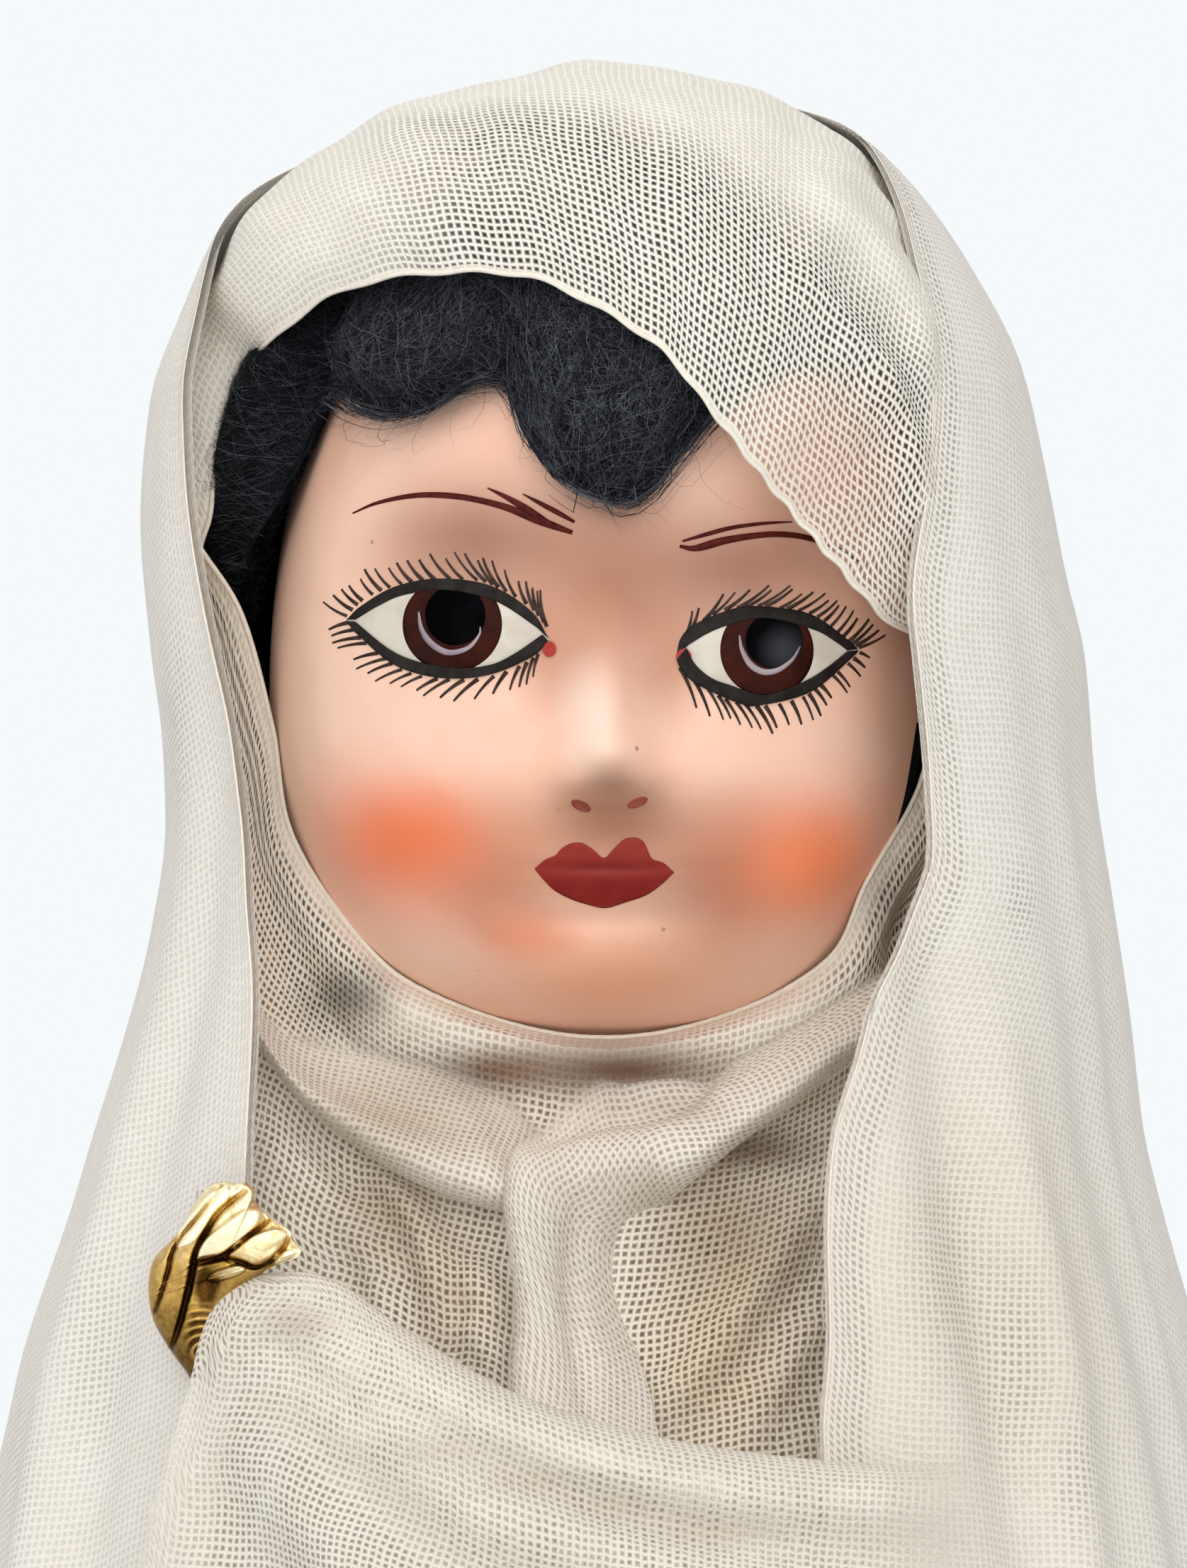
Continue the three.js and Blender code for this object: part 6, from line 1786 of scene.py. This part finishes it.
def upper_shape(side, rows=44, columns=120):
    """The upper: in plan each line runs from the throat's oval out to the foot's oval, at the height of the
    grown egg above that place, and then down the egg's side to the sole."""
    turn, share = turn_round(columns), share_down(rows)
    throat_x, throat_y = THROAT_SIZE[0] * np.cos(turn), THROAT_MIDDLE + THROAT_SIZE[1] * np.sin(turn)
    rim_x, rim_y = UPPER_SIZE[0] * np.cos(turn), FOOT_MIDDLE[0] + UPPER_SIZE[1] * np.sin(turn)
    out = np.sin(np.minimum(share / UPPER_TURN, 1) * np.pi / 2)
    x, y = throat_x + (rim_x - throat_x) * out, throat_y + (rim_y - throat_y) * out
    inside = (x / UPPER_SIZE[0]) ** 2 + ((y - FOOT_MIDDLE[0]) / UPPER_SIZE[1]) ** 2
    z = FOOT_MIDDLE[1] + UPPER_SIZE[2] * np.sqrt(np.maximum(1 - inside, 0))
    below = FOOT_MIDDLE[1] - (FOOT_MIDDLE[1] - SOLE_TOP) * (share - UPPER_TURN) / 0.28
    return xyz(side * (LEG_X + x), y, np.where(share > UPPER_TURN, below, z))


for label, side in SIDES.items():
    upper_grid = upper_shape(side)
    upper = piece(label + "_slipper_upper", upper_grid, SLIPPER, flip=side < 0)
    wall = upper.modifiers.new("leather", "SOLIDIFY")
    wall.thickness = 1.1 * MM
    wall.offset = -1.0
    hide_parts(label + "_slipper")
    binding = piece(label + "_slipper_binding", tube(upper_grid[0], 0.55, 8), BINDING)
    for leather_piece in (upper, binding):
        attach(leather_piece, label + "_leg")

# %% [markdown]
# ## Hidden fittings
#
# Torso, wires, washers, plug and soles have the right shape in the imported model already, so they stay and
# only get their finishes: layered raw paper, turned beech, drawn wire, cut leather and a covered elastic.

# %% Finishes for the fittings
def raw_paper():
    """Torn strips of pasted paper: overlapping patches in slightly different greys, with fibres."""
    material, tree, shader = finish("raw pasted paper", roughness=0.9, specular_ior_level=0.2)
    coords = own_coords(tree)
    strips = put(tree, "ShaderNodeTexVoronoi", {"Vector": wander(tree, coords, 160.0, 0.004), "Scale": 95.0})
    patch = put(tree, "ShaderNodeSeparateColor", {0: strips.outputs["Color"]}).outputs[0]
    fibre = noise(tree, coords, 1800.0, 4.0, 0.65)
    colour = tint(tree, patch, "B9AC94", "D6CAB2")
    colour = tint(tree, edge(tree, fibre, 0.55, 0.8), colour, "9C8D74")
    feed(tree, shader, calc(tree, "ADD", patch, calc(tree, "MULTIPLY", fibre, 0.4)), 0.18, base_color=colour)
    return material


def beech():
    """Turned beech: growth lines along X, waved a little, with short dark flecks."""
    material, tree, shader = finish("beech", roughness=0.6, specular_ior_level=0.3)
    inputs = {"Vector": own_coords(tree), "Scale": (60.0, 900.0, 900.0)}
    stretched = put(tree, "ShaderNodeMapping", inputs).outputs[0]
    lines = noise(tree, stretched, 1.0, 4.0, 0.6)
    colour = tint(tree, edge(tree, lines, 0.35, 0.65), "C79C6B", "DDB98A")
    flecks = edge(tree, noise(tree, stretched, 2.3, 1.0), 0.64, 0.7)
    colour = tint(tree, calc(tree, "MULTIPLY", flecks, 0.6), colour, "8F6238")
    feed(tree, shader, lines, 0.05, base_color=colour)
    return material


def drawn_wire():
    """Drawn steel: grey, with a rough brown bloom of rust."""
    material, tree, shader = finish("drawn steel wire", roughness=0.35, metallic=1.0)
    bloom = edge(tree, noise(tree, own_coords(tree), 500.0, 4.0, 0.6), 0.55, 0.75)
    colour = tint(tree, bloom, "B5B3AF", "7D5B42")
    feed(tree, shader, base_color=colour, roughness=scaled(tree, bloom, 0.28, 0.7))
    return material


def covered_elastic():
    """Elastic in a white cotton cover: slanting ribs of thread."""
    material, tree, shader = finish("covered elastic", roughness=0.85, specular_ior_level=0.2)
    inputs = {"Vector": own_coords(tree), "Scale": 500.0, "Distortion": 1.0}
    ribs = put(tree, "ShaderNodeTexWave", inputs).outputs["Fac"]
    feed(tree, shader, ribs, 0.08, base_color=tint(tree, ribs, "C9C2B4", "F0ECE2"))
    return material


FITTINGS = {
    "torso_front_shell torso_back_shell": raw_paper(),
    "hip_block neck_plug": beech(),
    "shoulder_wire hip_wire neck_hook brooch_pin": drawn_wire(),
    "neck_elastic": covered_elastic(),
    "neck_washer left_arm_washer right_arm_washer left_hip_washer right_hip_washer": WASHER,
    "left_sole right_sole": SOLE,
}
for names, material in FITTINGS.items():
    for name in names.split():
        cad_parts[name].data.materials.clear()
        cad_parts[name].data.materials.append(material)
print("fittings finished:", sum(len(names.split()) for names in FITTINGS))

# %% [markdown]

# %% [markdown]
# ## Stage and light
#
# A pale floor, a white surround and soft lamps, as in a small product studio. The surround is white to the
# camera and in reflections, but lights the doll only at a plain level, so the colours come out as written.
# The floor thins out into it, so no horizon shows.

# %% Floor and surround
FLOOR_HALF, FLOOR_Z = 1000.0, -0.05
WORLD_LIGHT = 0.6


def floor_finish():
    """Matt white paper with a faint cloud of tone, which thins out into the white of the studio."""
    material, tree, shader = finish("floor paper", roughness=0.85)
    coords = own_coords(tree)
    colour = tint(tree, noise(tree, coords, 6.0, 3.0), "F2F4F5", "E9EBEC")
    feed(tree, shader, base_color=colour, alpha=edge(tree, length(tree, coords), 1.0, 0.3))
    return material


floor_x, floor_y = np.meshgrid(*[np.linspace(-FLOOR_HALF, FLOOR_HALF, 3)] * 2)
floor = piece("floor", xyz(floor_x, floor_y, FLOOR_Z), floor_finish())

world = bpy.data.worlds.new("studio")
world.use_nodes = True
bpy.context.scene.world = world
sky = world.node_tree
background = sky.nodes["Background"]
rays = put(sky, "ShaderNodeLightPath").outputs
seen = calc(sky, "MAXIMUM", rays["Is Camera Ray"], rays["Is Glossy Ray"])
seen = calc(sky, "MAXIMUM", seen, rays["Is Transmission Ray"])
sky.links.new(tint(sky, seen, "F4F6F8", "F6F9FB"), background.inputs["Color"])
sky.links.new(scaled(sky, seen, WORLD_LIGHT, 1.0), background.inputs["Strength"])

# %% Lamps
LAMP_TARGET = np.array([0, 0, 280.0])
LAMPS = {
    "left": ((-360, -830, 740), 700, 2.7),
    "right": ((430, -760, 700), 700, 2.1),
    "front": ((0, -1000, 330), 800, 1.7),
    "top": ((-40, -260, 1150), 600, 1.7),
    "rim": ((-100, 700, 800), 500, 1.2),
    "side": ((-820, -330, 300), 400, 0.5),
}  # place and width in millimetres, and power in watts
for label, (place_at, width, power) in LAMPS.items():
    lamp = bpy.data.lights.new(label, "AREA")
    lamp.size = width * MM
    lamp.energy = power
    holder = bpy.data.objects.new(label, lamp)
    holder.location = np.array(place_at) * MM
    away = Vector(((np.array(place_at) - LAMP_TARGET) * MM).tolist())
    holder.rotation_euler = away.to_track_quat("Z", "Y").to_euler()
    bpy.context.scene.collection.objects.link(holder)

bpy.context.scene.view_settings.view_transform = "Standard"
bpy.context.scene.cycles.transparent_max_bounces = 32
